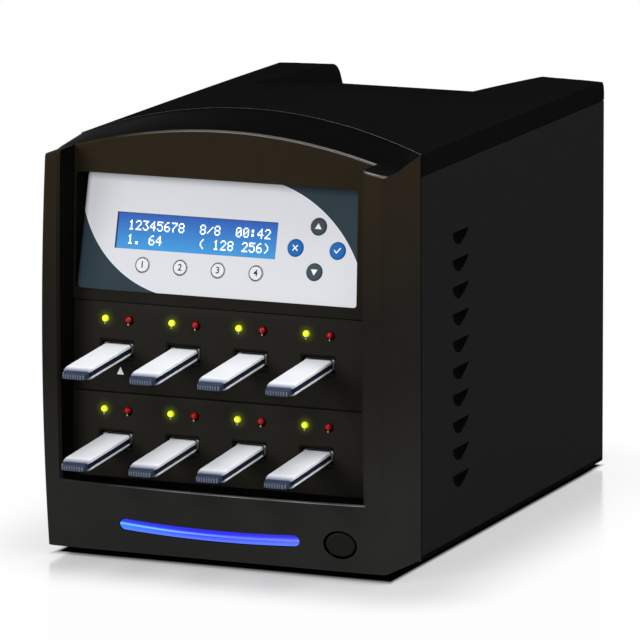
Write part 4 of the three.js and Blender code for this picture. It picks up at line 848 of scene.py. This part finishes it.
def lampStrip(row, color, aside, way, material):
    c = lamp
    height = portHeights[row] + plate["lampUp"]
    radius, back = c["radius"], c["back"]
    front, near, far = c["carrier"]
    half, start, end = c["stem"]
    x0, x1, y0, y1, z0, z1 = c["glintTab"]
    arc = spread(0, math.pi / 2, 8)
    dome = [(radius * math.sin(a), radius * (1 - math.cos(a)) - c["proud"]) for a in arc]
    dome += [(radius, back), (0, back)]
    parts = []
    for x in [portX + aside for portX in portXs]:
        parts.append(moved(turned(dome, 28), x, 0, height))
        low, high = sorted((height + way * start, height + way * end))
        parts.append(slab(x - half, x + half, front, back, low, high))
        # a pale tab under each lamp: a painted glint where the lamp's dome reflects
        glintTab = slab(x + x0, x + x1, y0, y1, height + z0, height + z1)
        parts.append(tinted(roundEdges(glintTab, c["tabEdge"], 2), 1))
    low, high = sorted((height + way * near, height + way * far))
    parts.append(slab(portXs[0] + aside - radius, portXs[-1] + aside + radius, front, back, low, high))
    finished(gathered(parts), "lamps_%s_%s" % (color, row), [material, skin["glintTab"]],
             "%s_lamps_%s" % (color, row), color + "_lamp", place=fascia)


lampFinishes = {color: lampFinish(color) for color in ("green", "red")}
for row in portHeights:
    lampStrip(row, "green", -plate["lampAside"], 1, lampFinishes["green"])
    lampStrip(row, "red", plate["lampAside"], -1, lampFinishes["red"])
print("lamps made")

# Keypad: the printed face with its two arcs, the display and the keys
face = dict(left=-79.3, right=70.9, low=0.3, high=58.47, corner=2.2, thick=0.5, light=(126, 127, 130),
            slate=(23, 31, 36), rim=(132, 134, 138), paintedGlow=2.35,
            arcs=((-22.1, 59.3, 60.7), (4.8, -11.1, 72.0)), trim=0.3, borderShade=(0.15, 4.2, 2.2))
roundKeys = dict(up=(46.6, 38.7), down=(46.6, 16.3), left=(35.4, 27.5), right=(57.8, 27.5))
numberKeys = [(-45.3 + 20.35 * i, 13.6) for i in range(4)]
keyShape = dict(round=4.2, number=3.8, proud=0.4, gap=0.25, flange=(3.3, 4.1, 0.8), stem=(1.8, 8.35),
                stroke=0.62, mark=0.02, ring=(0.12, 0.52), digit=4.6)
screen = dict(left=-61.3, right=24.9, low=21.4, high=39.1, front=1.75, frame=(4, 2.6, 3.3, 9.6),
              board=(5.6, 11.2), top=(34, 84, 178), foot=(60, 156, 222), pitch=3.86, dot=(0.62, 0.7),
              ink=(232, 240, 255), faint=(214, 228, 255),
              lines=((-55.6, 33.3, "12345678  8/8  00:42"), (-55.6, 26.2, "1. 64     ( 128 256)")))


def printedFace():
    material, tree, shader = newFinish("printedFace")
    x, y, z = axes(tree)
    inside = None
    for (middleX, middleZ, radius), limit in zip(face["arcs"], ("MINIMUM", "MAXIMUM")):
        dx, dz = (x - middleX * mm).math(limit, 0), (z - middleZ * mm).math(limit, 0)
        room = (dx * dx + dz * dz).math("SQRT") * -1 + radius * mm
        inside = inside.math("MINIMUM", room) if inside else room
    lit = inside.ramp(-0.05, 0.05)
    cloud = grain(tree, 30, 3)
    shade = cloud.remap(0, 1)
    tone = lit.blend(shade.blend(srgb(face["slate"], 0.86), srgb(face["slate"], 1.12)),
                     shade.blend(srgb(face["light"], 0.975), srgb(face["light"])))
    rim = lit * inside.ramp(face["trim"], face["trim"] + 0.15, 1, 0)
    printed = rim.blend(tone, srgb(face["rim"]))
    least, top, left = face["borderShade"]  # painted glow over the whole face, with painted shade along the top and left border under the window frame
    under = z.ramp(face["high"] - top, face["high"], 1, 0)
    beside = x.ramp(face["left"], face["left"] + left)
    paintedGlow = (under * beside).math("SQRT").math("MAXIMUM", least) * face["paintedGlow"]
    give(shader, {"Base Color": printed, "Emission Color": printed, "Emission Strength": paintedGlow,
                  "Roughness": cloud.remap(0.38, 0.5), "Specular IOR Level": 0.02})
    bump(shader, grain(tree, 3800, 2), 0.08, 0.02)
    return material


def makeFace():
    gap = keyShape["gap"]
    outline = roundedRect(face["left"], face["right"], face["low"], face["high"], face["corner"])
    keys = [(x, z, keyShape["round"]) for x, z in roundKeys.values()]
    keys += [(x, z, keyShape["number"]) for x, z in numberKeys]
    cuts = [disc(x, z, radius + gap, -1, 2, 48) for x, z, radius in keys]
    cuts.append(slab(screen["left"] - gap, screen["right"] + gap, -1, 2, screen["low"] - gap,
                     screen["high"] + gap))
    body = combined(extruded(outline, 0, face["thick"], "Y"), gathered(cuts))
    finished(body, "keypad_face", printedFace(), "panel_overlay", "overlay", place=keypad, even=False)


def lensFinish():
    material, tree, shader = newFinish("clearLens")
    give(shader, {"Base Color": (0.3, 0.4, 0.6, 1), "Alpha": 0.04, "Specular IOR Level": 0.03,
                  "Roughness": grain(tree, 900, 2).remap(0.25, 0.35)})
    return material


def screenFinish():
    material, tree, shader = newFinish("litScreen")
    x, y, z = axes(tree)
    rise = z.ramp(screen["low"], screen["high"]) + grain(tree, 26, 2).remap(-0.06, 0.06)
    tone = rise.blend(srgb(screen["foot"]), srgb(screen["top"]))
    give(shader, {"Emission Color": tone, "Emission Strength": 0.96, "Base Color": (0.005, 0.015, 0.04, 1),
                  "Roughness": 0.4, "Specular IOR Level": 0})
    return material


def inkFinish():
    material, tree, shader = newFinish("litDigits")
    tone = grain(tree, 1200, 2).remap(0, 1).blend(srgb(screen["faint"]), srgb(screen["ink"]))
    give(shader, {"Base Color": srgb(screen["ink"]), "Emission Color": tone, "Emission Strength": 0.9})
    return material


# Rows of five dots, seven to a letter, each row written as a pair of hexadecimal digits
glyphs = {"0": "0e11131519110e", "1": "040c040404040e", "2": "0e11010204081f", "3": "1f02040201110e",
          "4": "02060a121f0202", "5": "1f101e0101110e", "6": "0608101e11110e", "7": "1f010204080808",
          "8": "0e11110e11110e", "9": "0e11110f01020c", "/": "00010204081000", ":": "000c0c000c0c00",
          ".": "00000000000c0c", "(": "02040808080402", ")": "08040202020408"}


def makeDisplay():
    c = screen
    left, right, low, high = c["left"], c["right"], c["low"], c["high"]
    aside, over, front, back = c["frame"]
    boardAside, boardBack = c["board"]
    glass = slab(left, right, c["front"], 6.45, low, high)
    rim = roundEdges(slab(left - aside, right + aside, front, back, low - over, high + over), 0.5, 2)
    base = slab(left - boardAside, right + boardAside, back, boardBack, low - over, high + over)
    finishes = [screenFinish(), metal["steel"], skin["board"]]
    finished(gathered([tinted(glass, 0), tinted(rim, 1), tinted(base, 2)]), "display", finishes,
             "display_module", "screen", place=keypad, even=False)
    dots = []
    wide, tall = c["dot"]
    for x0, z0, text in c["lines"]:
        for k, letter in enumerate(text.replace(" ", "_")):
            for r, line in enumerate(bytes.fromhex(glyphs.get(letter, ""))):
                for column in range(5):
                    if line >> (4 - column) & 1:
                        x = x0 + k * c["pitch"] + column * wide
                        z = z0 + (3 - r) * tall
                        dots.append(slab(x, x + wide * 0.98, c["front"] - 0.06, c["front"] + 0.02,
                                         z - tall * 0.49, z + tall * 0.49))
    finished(gathered(dots), "display_digits", inkFinish(), slot="screen", place=keypad, even=False)


def capMesh(radius):
    front, back, grow = keyShape["flange"]
    stem, end = keyShape["stem"]
    crown = ((0, 0), (radius * 0.6, 0.01), (radius - 0.45, 0.03), (radius - 0.2, 0.09), (radius - 0.06, 0.2),
             (radius, 0.38))
    profile = [(r, depth - keyShape["proud"]) for r, depth in crown]
    profile += [(radius, front), (radius + grow, front), (radius + grow, back), (stem, back), (stem, end)]
    return turned(profile + [(0, end)], 56)


def digitMesh(letter, height):
    text = bpy.data.curves.new("digit", "FONT")
    text.body, text.size, text.extrude, text.offset = letter, height, 0.015, height * 0.014
    text.align_x, text.align_y = "CENTER", "CENTER"
    holder = bpy.data.objects.new("digit", text)
    bpy.context.scene.collection.objects.link(holder)
    mesh = bpy.data.meshes.new_from_object(holder.evaluated_get(bpy.context.evaluated_depsgraph_get()))
    bpy.data.objects.remove(holder)
    bm = bmesh.new()
    bm.from_mesh(mesh)
    bpy.data.meshes.remove(mesh)
    return moved(weld(bm, 0.002), matrix=turn(90, "X"))


def raised(outline):  # a mark that stands just proud of its key
    return extruded(outline, -keyShape["proud"] - keyShape["mark"], -0.2, "Y")


def strokes(*lines):  # straight strokes with square ends, joined
    bars = []
    for x0, z0, x1, z1 in lines:
        along = Vector((x1 - x0, z1 - z0)).normalized() * keyShape["stroke"] / 2
        n = Vector((-along.y, along.x))
        a, b = Vector((x0, z0)) - along, Vector((x1, z1)) + along
        bars.append(raised([tuple(p) for p in (a - n, b - n, b + n, a + n)]))
    return combined(*bars, how="UNION")


def keyCap(name, node, place, tone, radius, *marks):
    parts = [capMesh(radius)] + [tinted(mark, 1) for mark in marks]
    finishes = [skin[tone + "Key"], skin["darkMark" if tone == "white" else "mark"]]
    finished(gathered(parts), "cap_" + name, finishes, node, tone + "_key", node, place, even=False)


def makeKeys():
    marks = {"up": raised([(-1.75, -1.25), (1.75, -1.25), (0, 1.75)]),
             "down": raised([(-1.75, 1.25), (0, -1.75), (1.75, 1.25)]),
             "left": strokes((-1.1, -1.1, 1.1, 1.1), (-1.1, 1.1, 1.1, -1.1)),
             "right": strokes((-1.5, 0.05, -0.45, -1.1), (-0.45, -1.1, 1.5, 1.25))}
    for name, (x, z) in roundKeys.items():
        tone = "dark" if name in ("up", "down") else "blue"
        keyCap(name, "key_" + name, keypad @ shift(x, 0, z), tone, keyShape["round"], marks[name])
    radius, front = keyShape["number"], -keyShape["proud"]
    outer, inner = (radius - inset for inset in keyShape["ring"])
    for i, (x, z) in enumerate(numberKeys, 1):
        ring = combined(disc(0, 0, outer, front + 0.02, -0.1), disc(0, 0, inner, -1, 1))
        digit = moved(digitMesh(str(i), keyShape["digit"]), 0, front - 0.005)
        keyCap(str(i), "function_key_%d" % i, keypad @ shift(x, 0, z), "white", radius, ring, digit)


makeFace()
makeDisplay()
makeKeys()
triangle = extruded([(-56.45, 90.4), (-52.75, 90.4), (-54.6, 94.2)], -0.03, 0.05, "Y")
finished(triangle, "source_triangle", skin["mark"], slot="fascia", place=fascia, even=False)
print("keypad made")

# Light bar and power button in the chin
glow = dict(left=(40, 132, 236), middle=(64, 60, 255), right=(92, 96, 255), edge=(40, 20, 222),
            line=(150, 212, 255), foot=(96, 130, 255), toMiddle=(-46, -12), toRight=(0, 38),
            lineFade=(-30, 10, 0.9, 0.32))


def barFinish():
    material, tree, shader = newFinish("glowingBar")
    left, right, zLeft, zRight, sag, half = chin["bar"]
    x, y, z = axes(tree)
    first = x.ramp(*glow["toMiddle"]).blend(srgb(glow["left"]), srgb(glow["middle"]))
    tone = x.ramp(*glow["toRight"]).blend(first, srgb(glow["right"]))
    # how far a point lies from the middle of the bar, as a share of its half height
    run = right - left - 2 * half
    share = x * (1 / (run * mm)) - (left + half) / run
    line = (share - share * share) * (-4 * sag * mm) + share * ((zRight - zLeft) * mm) + zLeft * mm
    away = (z - line) * (1 / (half * mm))
    streak = grain(tree, 240, 2, 0.6, (0.06, 1, 1))
    core = abs(streak * 0.5 + (away - 0.35)).remap(1, 0, 0.02, 0.26)
    tone = (core * x.ramp(*glow["lineFade"])).blend(tone, srgb(glow["line"]))
    tone = away.remap(0.8, 0, -0.75, -0.15).blend(tone, srgb(glow["foot"]))
    tone = away.remap(0, 0.95, 0.15, 0.75).blend(tone, srgb(glow["edge"]))
    give(shader, {"Emission Color": tone, "Emission Strength": 1, "Base Color": (0.01, 0.02, 0.1, 1),
                  "Roughness": 0.25, "Specular IOR Level": 0.03})
    return material


def makeBar():
    left, right, zLeft, zRight, sag, half = chin["bar"]
    ends = [half * (1 - math.cos(math.radians(a))) for a in range(6, 90, 12)]
    stations = [left + d for d in ends] + spread(left + half, right - half, 48)
    stations += [right - d for d in reversed(ends)]
    rows = []
    for x in stations:
        out = max(0, left + half - x, x - right + half)
        tall = math.sqrt(max(0.01, half * half - out * out))
        row = []
        for w in spread(-1, 1, 14):
            w = math.sin(w * math.pi / 2)
            z = barMiddle(x) + w * tall
            sink = 0.55 * (1 - math.sqrt(max(0, 1 - (w * 0.98) ** 2)))  # the bar's rounded face
            row.append((x, frontAt(x, z) + chin["setBack"] + sink, z))
        rows.append(row)
    edge = [row[0] for row in rows] + rows[-1][1:]
    edge += [row[-1] for row in reversed(rows[:-1])] + rows[0][-2:0:-1]
    deep = [(x, chin["barBack"], z) for x, y, z in edge]
    bm = patched([rows, [edge + edge[:1], deep + deep[:1]]], [deep])
    finished(bm, "glow_bar", barFinish(), "light_bar", "light_bar", corner=50)


def makeButton():
    x0, z0, radiusX, radiusZ = chin["button"]
    rows = []
    for s in (0.2, 0.4, 0.6, 0.75, 0.86, 0.93, 0.97, 1):
        around = [(x0 + radiusX * s * math.cos(a), z0 + radiusZ * s * math.sin(a))
                  for a in [2 * math.pi * i / 72 for i in range(73)]]
        rows.append([(x, frontAt(x, z) + 0.12 + 0.5 * s ** 22, z) for x, z in around])
    rows.append([(x, chin["buttonBack"], z) for x, y, z in rows[-1]])
    bm = patched([rows], [rows[0][:-1], rows[-1][:-1]])
    finished(bm, "button_cap", skin["button"], "power_button", "button", "power_button", corner=50)


makeBar()
makeButton()
print("chin made")

# Rear: the fan with its guard
fan = dict(height=134, half=40, corner=4, bore=38, housing=(-26.5, -1.5), strut=(-4.1, -1.6, 2), motor=17,
           shaft=(2, 9), rotor=(-22.8, -4.8), hub=16.4, hubWall=1.2, tip=37.1, blades=7, chord=(15, 20),
           twist=(46, 34), sweep=16, camber=1.76, thick=0.75, rings=(9.4, 18.0, 26.6, 35.2),
           spoke=(4, 47.6), eye=3, wire=0.85, standOff=0.45, screws=35.75)


def wireRing(radius, y, steps=72):
    wire = fan["wire"]
    section = [2 * math.pi * k / 10 for k in range(10)] + [0]
    rows = []
    for i in range(steps + 1):
        a = 2 * math.pi * (i % steps) / steps
        rows.append([((radius + wire * math.cos(b)) * math.cos(a), y + wire * math.sin(b),
                      (radius + wire * math.cos(b)) * math.sin(a)) for b in section])
    return patched([rows], gap=0.001)


def makeGuard():
    wire, (near, far) = fan["wire"], fan["spoke"]
    y = caseDepth + fan["standOff"] + wire
    parts = [wireRing(radius, y) for radius in fan["rings"]]
    for degrees in (45, 135, 225, 315):
        spoke = turned([(0, near), (wire, near), (wire, far), (0, far)], 10, "Z")
        parts.append(moved(spoke, matrix=Matrix.Translation((0, y, 0)) @ turn(degrees, "Y")))
        place = turn(degrees, "Y") @ Matrix.Translation((0, y, fan["screws"] * math.sqrt(2)))
        parts.append(moved(wireRing(fan["eye"], 0, 28), matrix=place))
    body = moved(gathered(parts), 0, 0, fan["height"])
    finished(body, "guard_wires", metal["wire"], "fan_guard", "steel", corner=60)


def bladeMesh(middle):
    c = fan
    mix = lambda pair, share: pair[0] + (pair[1] - pair[0]) * share
    across = spread(-0.5, 0.5, 8)
    rows = []
    for s in spread(0, 1, 6):
        radius = mix((c["hub"] - 0.6, c["tip"]), s)
        chord, twist = mix(c["chord"], s), math.radians(mix(c["twist"], s))
        ring = []
        for u, half in [(u, c["thick"]) for u in across] + [(u, -c["thick"]) for u in reversed(across)]:
            thin = half * (1 - (2 * u) ** 4) ** 0.5 if abs(u) < 0.5 else half * 0.25
            along, deep = u * chord, c["camber"] * (1 - (2 * u) ** 2) + thin
            aside = along * math.cos(twist) - deep * math.sin(twist)
            angle = math.radians(c["sweep"] * s) + aside / radius
            depth = along * math.sin(twist) + deep * math.cos(twist)
            ring.append((radius * math.sin(angle), middle + depth * 0.92, radius * math.cos(angle)))
        rows.append(ring + ring[:1])
    return patched([rows], [rows[0][:-1], rows[-1][:-1]])


def makeRotor():
    front, back = (caseDepth + depth for depth in fan["rotor"])
    hub, inner, shaft = fan["hub"], fan["hub"] - fan["hubWall"], fan["shaft"][0] + 0.3
    outline = [(0, back), (inner, back), (hub - 0.4, back - 0.4), (hub, back - fan["hubWall"]), (hub, front),
               (inner, front), (inner, back - 2), (shaft, back - 2), (shaft, back - 3), (0, back - 3)]
    parts = [turned(outline, 48)]
    for k in range(fan["blades"]):
        parts.append(moved(bladeMesh((front + back) / 2), matrix=turn(360 * k / fan["blades"], "Y")))
    body = moved(gathered(parts), 0, 0, fan["height"])
    finished(body, "fan_wheel", skin["blackPlastic"], "fan_rotor", "black_plastic", "fan_rotor", corner=40)


def makeFrame():
    middle, motor = fan["height"], fan["motor"]
    front, back = (caseDepth + depth for depth in fan["housing"])
    near, far = (caseDepth + depth for depth in fan["strut"][:2])
    half, reach, wide = fan["strut"][2], fan["bore"] + 1, 2 * fan["half"]
    body = roundEdges(pad(0, middle, wide, wide, fan["corner"], front, back), 0.6, 2, 60)
    body = combined(body, disc(0, middle, fan["bore"], front - 1, back + 1, 96))
    hub = turned([(0, near), (motor, near), (motor, back - 0.4), (motor - 0.4, back), (0, back)], 48)
    radius, ahead = fan["shaft"]
    shaft = turned([(0, near - ahead), (radius, near - ahead), (radius, near + 0.5), (0, near + 0.5)], 20)
    body = combined(body, slab(-reach, reach, near, far, middle - half, middle + half),
                    slab(-half, half, near, far, middle - reach, middle + reach),
                    moved(hub, 0, 0, middle), moved(shaft, 0, 0, middle), how="UNION")
    finished(body, "fan_housing", skin["blackPlastic"], "fan_frame", "black_plastic", corner=40)


# Mains inlet and rocker
inlet = dict(x=-42, z=34, flange=(32, 26, 2.5), proud=2, body=(27, 20, 1), bodyDeep=21, mouthDeep=14,
             pin=(1, 2, 15), mouth=((-12, -8), (12, -8), (12, 3.5), (7.5, 8), (-7.5, 8), (-12, 3.5)),
             pins=((-7, -2), (7, -2), (0, 2)))
rocker = dict(x=-12, y=0.4, z=34, rest=9, half=6.9, halfWide=4.95, hollow=(1.7, 1.1), foot=(-3.9, 2.3),
              pin=(1, 5.75), line=(0.35, 2.6, 5.4), ring=(-4, 1.5, 0.9))


def makeInlet():
    c, face = inlet, caseDepth
    x, z = c["x"], c["z"]
    flange = roundEdges(pad(x, z, *c["flange"], face, face + c["proud"]), 0.5, 3, 60)
    body = combined(flange, pad(x, z, *c["body"], face - c["bodyDeep"], face + 1), how="UNION")
    mouth = [(x + dx, z + dz) for dx, dz in c["mouth"]]
    parts = [combined(body, extruded(mouth, face - c["mouthDeep"], face + 4, "Y"))]
    wide, tall, deep = c["pin"]
    for dx, dz in c["pins"]:
        pin = slab(x + dx - wide, x + dx + wide, face - deep, face - 1, z + dz - tall, z + dz + tall)
        parts.append(tinted(roundEdges(pin, 0.3, 2), 1))
    finished(gathered(parts), "mains_inlet", [skin["blackPlastic"], metal["shell"]], "power_inlet",
             "black_plastic", corner=40)


def makeRocker():
    c = rocker
    half, wide, (least, more), (footY, footZ) = c["half"], c["halfWide"], c["hollow"], c["foot"]
    outline = [(least + more * (s / half) ** 2, s) for s in spread(-half, half, 20)]
    outline = [(footY, -footZ)] + outline + [(footY, footZ)]
    body = roundEdges(extruded(outline, -wide, wide, "X"), 0.3, 2, 60)
    radius, reach = c["pin"]
    pin = turned([(0, -reach), (radius, -reach), (radius, reach), (0, reach)], 20, "X")
    body = tinted(combined(body, pin, how="UNION"), 0)
    halfLine, low, high = c["line"]  # the plain line and ring that such switches carry
    line = slab(-halfLine, halfLine, 2.15, 2.38, low, high)
    z, outer, inner = c["ring"]
    ring = combined(disc(0, z, outer, 2.1, 2.36, 40), disc(0, z, inner, 1, 3, 40))
    place = machine @ shift(c["x"], caseDepth + c["y"], c["z"]) @ turn(c["rest"], "X")
    finishes = [skin["blackPlastic"], skin["mark"]]
    finished(gathered([body, tinted(line, 1), tinted(ring, 1)]), "rocker_cap", finishes, "mains_rocker",
             "black_plastic", "mains_rocker", place, corner=40)


# Rear screws: radius, height of head, stand-off and places of each kind
reach, middle = fan["screws"], fan["height"]
screwKinds = [(3.4, 1.5, 0.6, [(x, middle + z) for z in (-reach, reach) for x in (-reach, reach)]),
              (2.9, 1.3, 0, [(x, z) for x in (-82, 82) for z in (12, 97, 183)] + [(-27, 183), (27, 183)]),
              (2.6, 1.2, 0, [(-58, 62), (4, 62)])]


def screwHead(radius, proud):
    profile = [(0, proud), (radius * 0.5, proud * 0.94), (radius * 0.85, proud * 0.66), (radius, proud * 0.2),
               (radius, 0), (0, 0)]
    arm, half, deep = radius * 0.62, 0.3, proud * 0.45
    slots = [slab(-x, x, deep, proud + 1, -z, z) for x, z in ((arm, half), (half, arm))]
    return combined(turned(profile, 28), combined(*slots, how="UNION"))


def makeScrews():
    heads = [moved(screwHead(radius, proud), x, caseDepth + lift, z)
             for radius, proud, lift, places in screwKinds for x, z in places]
    finished(gathered(heads), "rear_screws", metal["wire"], slot="steel", corner=50)


makeGuard()
makeRotor()
makeFrame()
makeInlet()
makeRocker()
makeScrews()

# Feet: turned rubber pads with a hollow underside
foot = dict(xs=(-71.6, 71.6), ys=(57.2, 281), under=((0, -1.9), (3, -1.9), (3.2, -2.5), (6.9, -2.5)),
            rim=((7.4, -2.35), (7.75, -1.8), (8, -0.4), (8, 0), (0, 0)))
footPlaces = [machine @ shift(x, y) for y in foot["ys"] for x in foot["xs"]]
footPad = turned(foot["under"] + foot["rim"], 48, "Z")
repeated(footPad, "foot_pad", "foot", footPlaces, skin["rubber"], "rubber", corner=45)
print("rear and feet made")

# Camera, floor and lamps: a plain soft studio at the photograph's angle
view = dict(place=(1.3247, -3.1213, 0.7613), azimuth=22.968, elevation=10.997, roll=-0.2488, lens=382.56)
bpy.context.scene.view_settings.view_transform = "Standard"
camera = bpy.data.objects.new("portraitCamera", bpy.data.cameras.new("portraitCamera"))
camera.data.lens, camera.data.sensor_width = view["lens"], 36
camera.data.clip_start, camera.data.clip_end = 0.1, 60
camera.matrix_world = (Matrix.Translation(view["place"]) @ turn(view["azimuth"], "Z")
                       @ turn(90 - view["elevation"], "X") @ turn(view["roll"], "Z"))
bpy.context.scene.collection.objects.link(camera)
bpy.context.scene.camera = camera

studioLamps = [dict(name="keyLamp", place=(-1.3, -2.6, 1.05), aim=(0, -0.1, 0.1), size=1.3, watts=60),
               dict(name="sideLamp", place=(2.6, -0.5, 1.0), aim=(0, 0, 0.1), size=1.4, watts=36),
               dict(name="topLamp", place=(0.4, -0.3, 1.75), aim=(0, -0.1, 0.15), size=0.9, watts=24),
               dict(name="rearLamp", place=(-2.9, 1.25, 0.3), aim=(0, 0.1, 0.1), size=1.2, watts=34)]
for look in studioLamps:
    data = bpy.data.lights.new(look["name"], "AREA")
    data.energy, data.size, data.shape = look["watts"], look["size"], "SQUARE"
    obj = bpy.data.objects.new(look["name"], data)
    obj.location = look["place"]
    obj.rotation_euler = (Vector(look["aim"]) - Vector(look["place"])).to_track_quat("-Z", "Y").to_euler()
    bpy.context.scene.collection.objects.link(obj)


def seenDirectly(tree):
    seen, *others = [Value(add(tree, "ShaderNodeLightPath", {}).outputs["Is %s Ray" % kind])
                     for kind in ("Camera", "Glossy", "Transmission")]
    for other in others:
        seen = seen.math("MAXIMUM", other)
    return seen


world = bpy.data.worlds.new("studio")
world.use_nodes = True
bpy.context.scene.world = world
give(world.node_tree.nodes["Background"],
     {"Color": (1, 1, 1, 1), "Strength": seenDirectly(world.node_tree).remap(0.3, 1, 0, 1)})

# The floor: a painted shadow in the gap under the machine, white far off, and the mirrored machine fades near
# its foot
floorLook = dict(size=4, tone=(0.33, 0.33, 0.335, 1), dark=(0.002, 0.002, 0.002, 1), glow=0.4, sheen=0.5,
                 roughness=0.16, clear=(0.45, 1.1), keep=(94, 148, 20, 12, 68), fade=0.94,
                 gapSide=(89.5, 92.6), gapFront=(-119.5, -127), gapRear=(170.5, 173))


def floorFinish():
    c = floorLook
    material, tree, shader = newFinish("paleFloor")
    x, y, z = axes(tree)
    gaps = ((abs(x), "gapSide"), (y, "gapFront"), (y, "gapRear"))
    aside, ahead, behind = (value.ramp(*c[gap]) for value, gap in gaps)
    bare = aside.math("MAXIMUM", ahead.math("MAXIMUM", behind))
    seen = seenDirectly(tree)
    give(shader, {"Base Color": bare.blend(c["dark"], c["tone"]), "Roughness": c["roughness"],
                  "Specular IOR Level": bare * c["sheen"], "Emission Color": (1, 1, 1, 1),
                  "Emission Strength": seen * bare * c["glow"]})
    halfWide, halfDeep, middle, near, end = (d * mm for d in c["keep"])
    outX = (abs(x) - halfWide).math("MAXIMUM", 0)
    outY = (abs(y - middle) - halfDeep).math("MAXIMUM", 0)
    away = (outX * outX + outY * outY).math("SQRT")
    far = (x * x + y * y).math("SQRT").remap(0, 1, *c["clear"])
    far = far.math("MAXIMUM", away.remap(0, c["fade"], near, end, "SMOOTHSTEP"))
    white = add(tree, "ShaderNodeEmission", {"Strength": 1})
    own, white = (Value(node.outputs[0]) for node in (shader, white))
    join = add(tree, "ShaderNodeMixShader", {0: far * seen, 1: own, 2: white})
    give(tree.nodes["Material Output"], {"Surface": Value(join.outputs[0])})
    return material


floorMesh = bpy.data.meshes.new("floor")
s = floorLook["size"]
floorMesh.from_pydata([(-s, -s, 0), (s, -s, 0), (s, s, 0), (-s, s, 0)], [], [(0, 1, 2, 3)])
floorMesh.materials.append(floorFinish())
floor = bpy.data.objects.new("floor", floorMesh)
bpy.context.scene.collection.objects.link(floor)
print("studio ready")

# Plain carried-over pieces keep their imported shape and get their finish
plainNodes = {
    "blackPlastic": ("control_panel", "power_switch", "power_inlet", "switch_housing", "fan_frame",
                     "mains_rocker", "fan_rotor"),
    "board": ("control_board", "light_bar_board", "controller_board"),
    "shadowedBoard": ("port_board_upper", "port_board_lower"), "ribbon": ("port_ribbon",)}
plainFinishes = {node: skin[name] for name, group in plainNodes.items() for node in group}
plainFinishes.update(chassis_base=metal["steel"], power_supply=metal["steel"], display_lens=lensFinish())
for name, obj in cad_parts.items():
    obj.data.materials.clear()
    obj.data.materials.append(plainFinishes.get(name, skin["rearSteel"]))
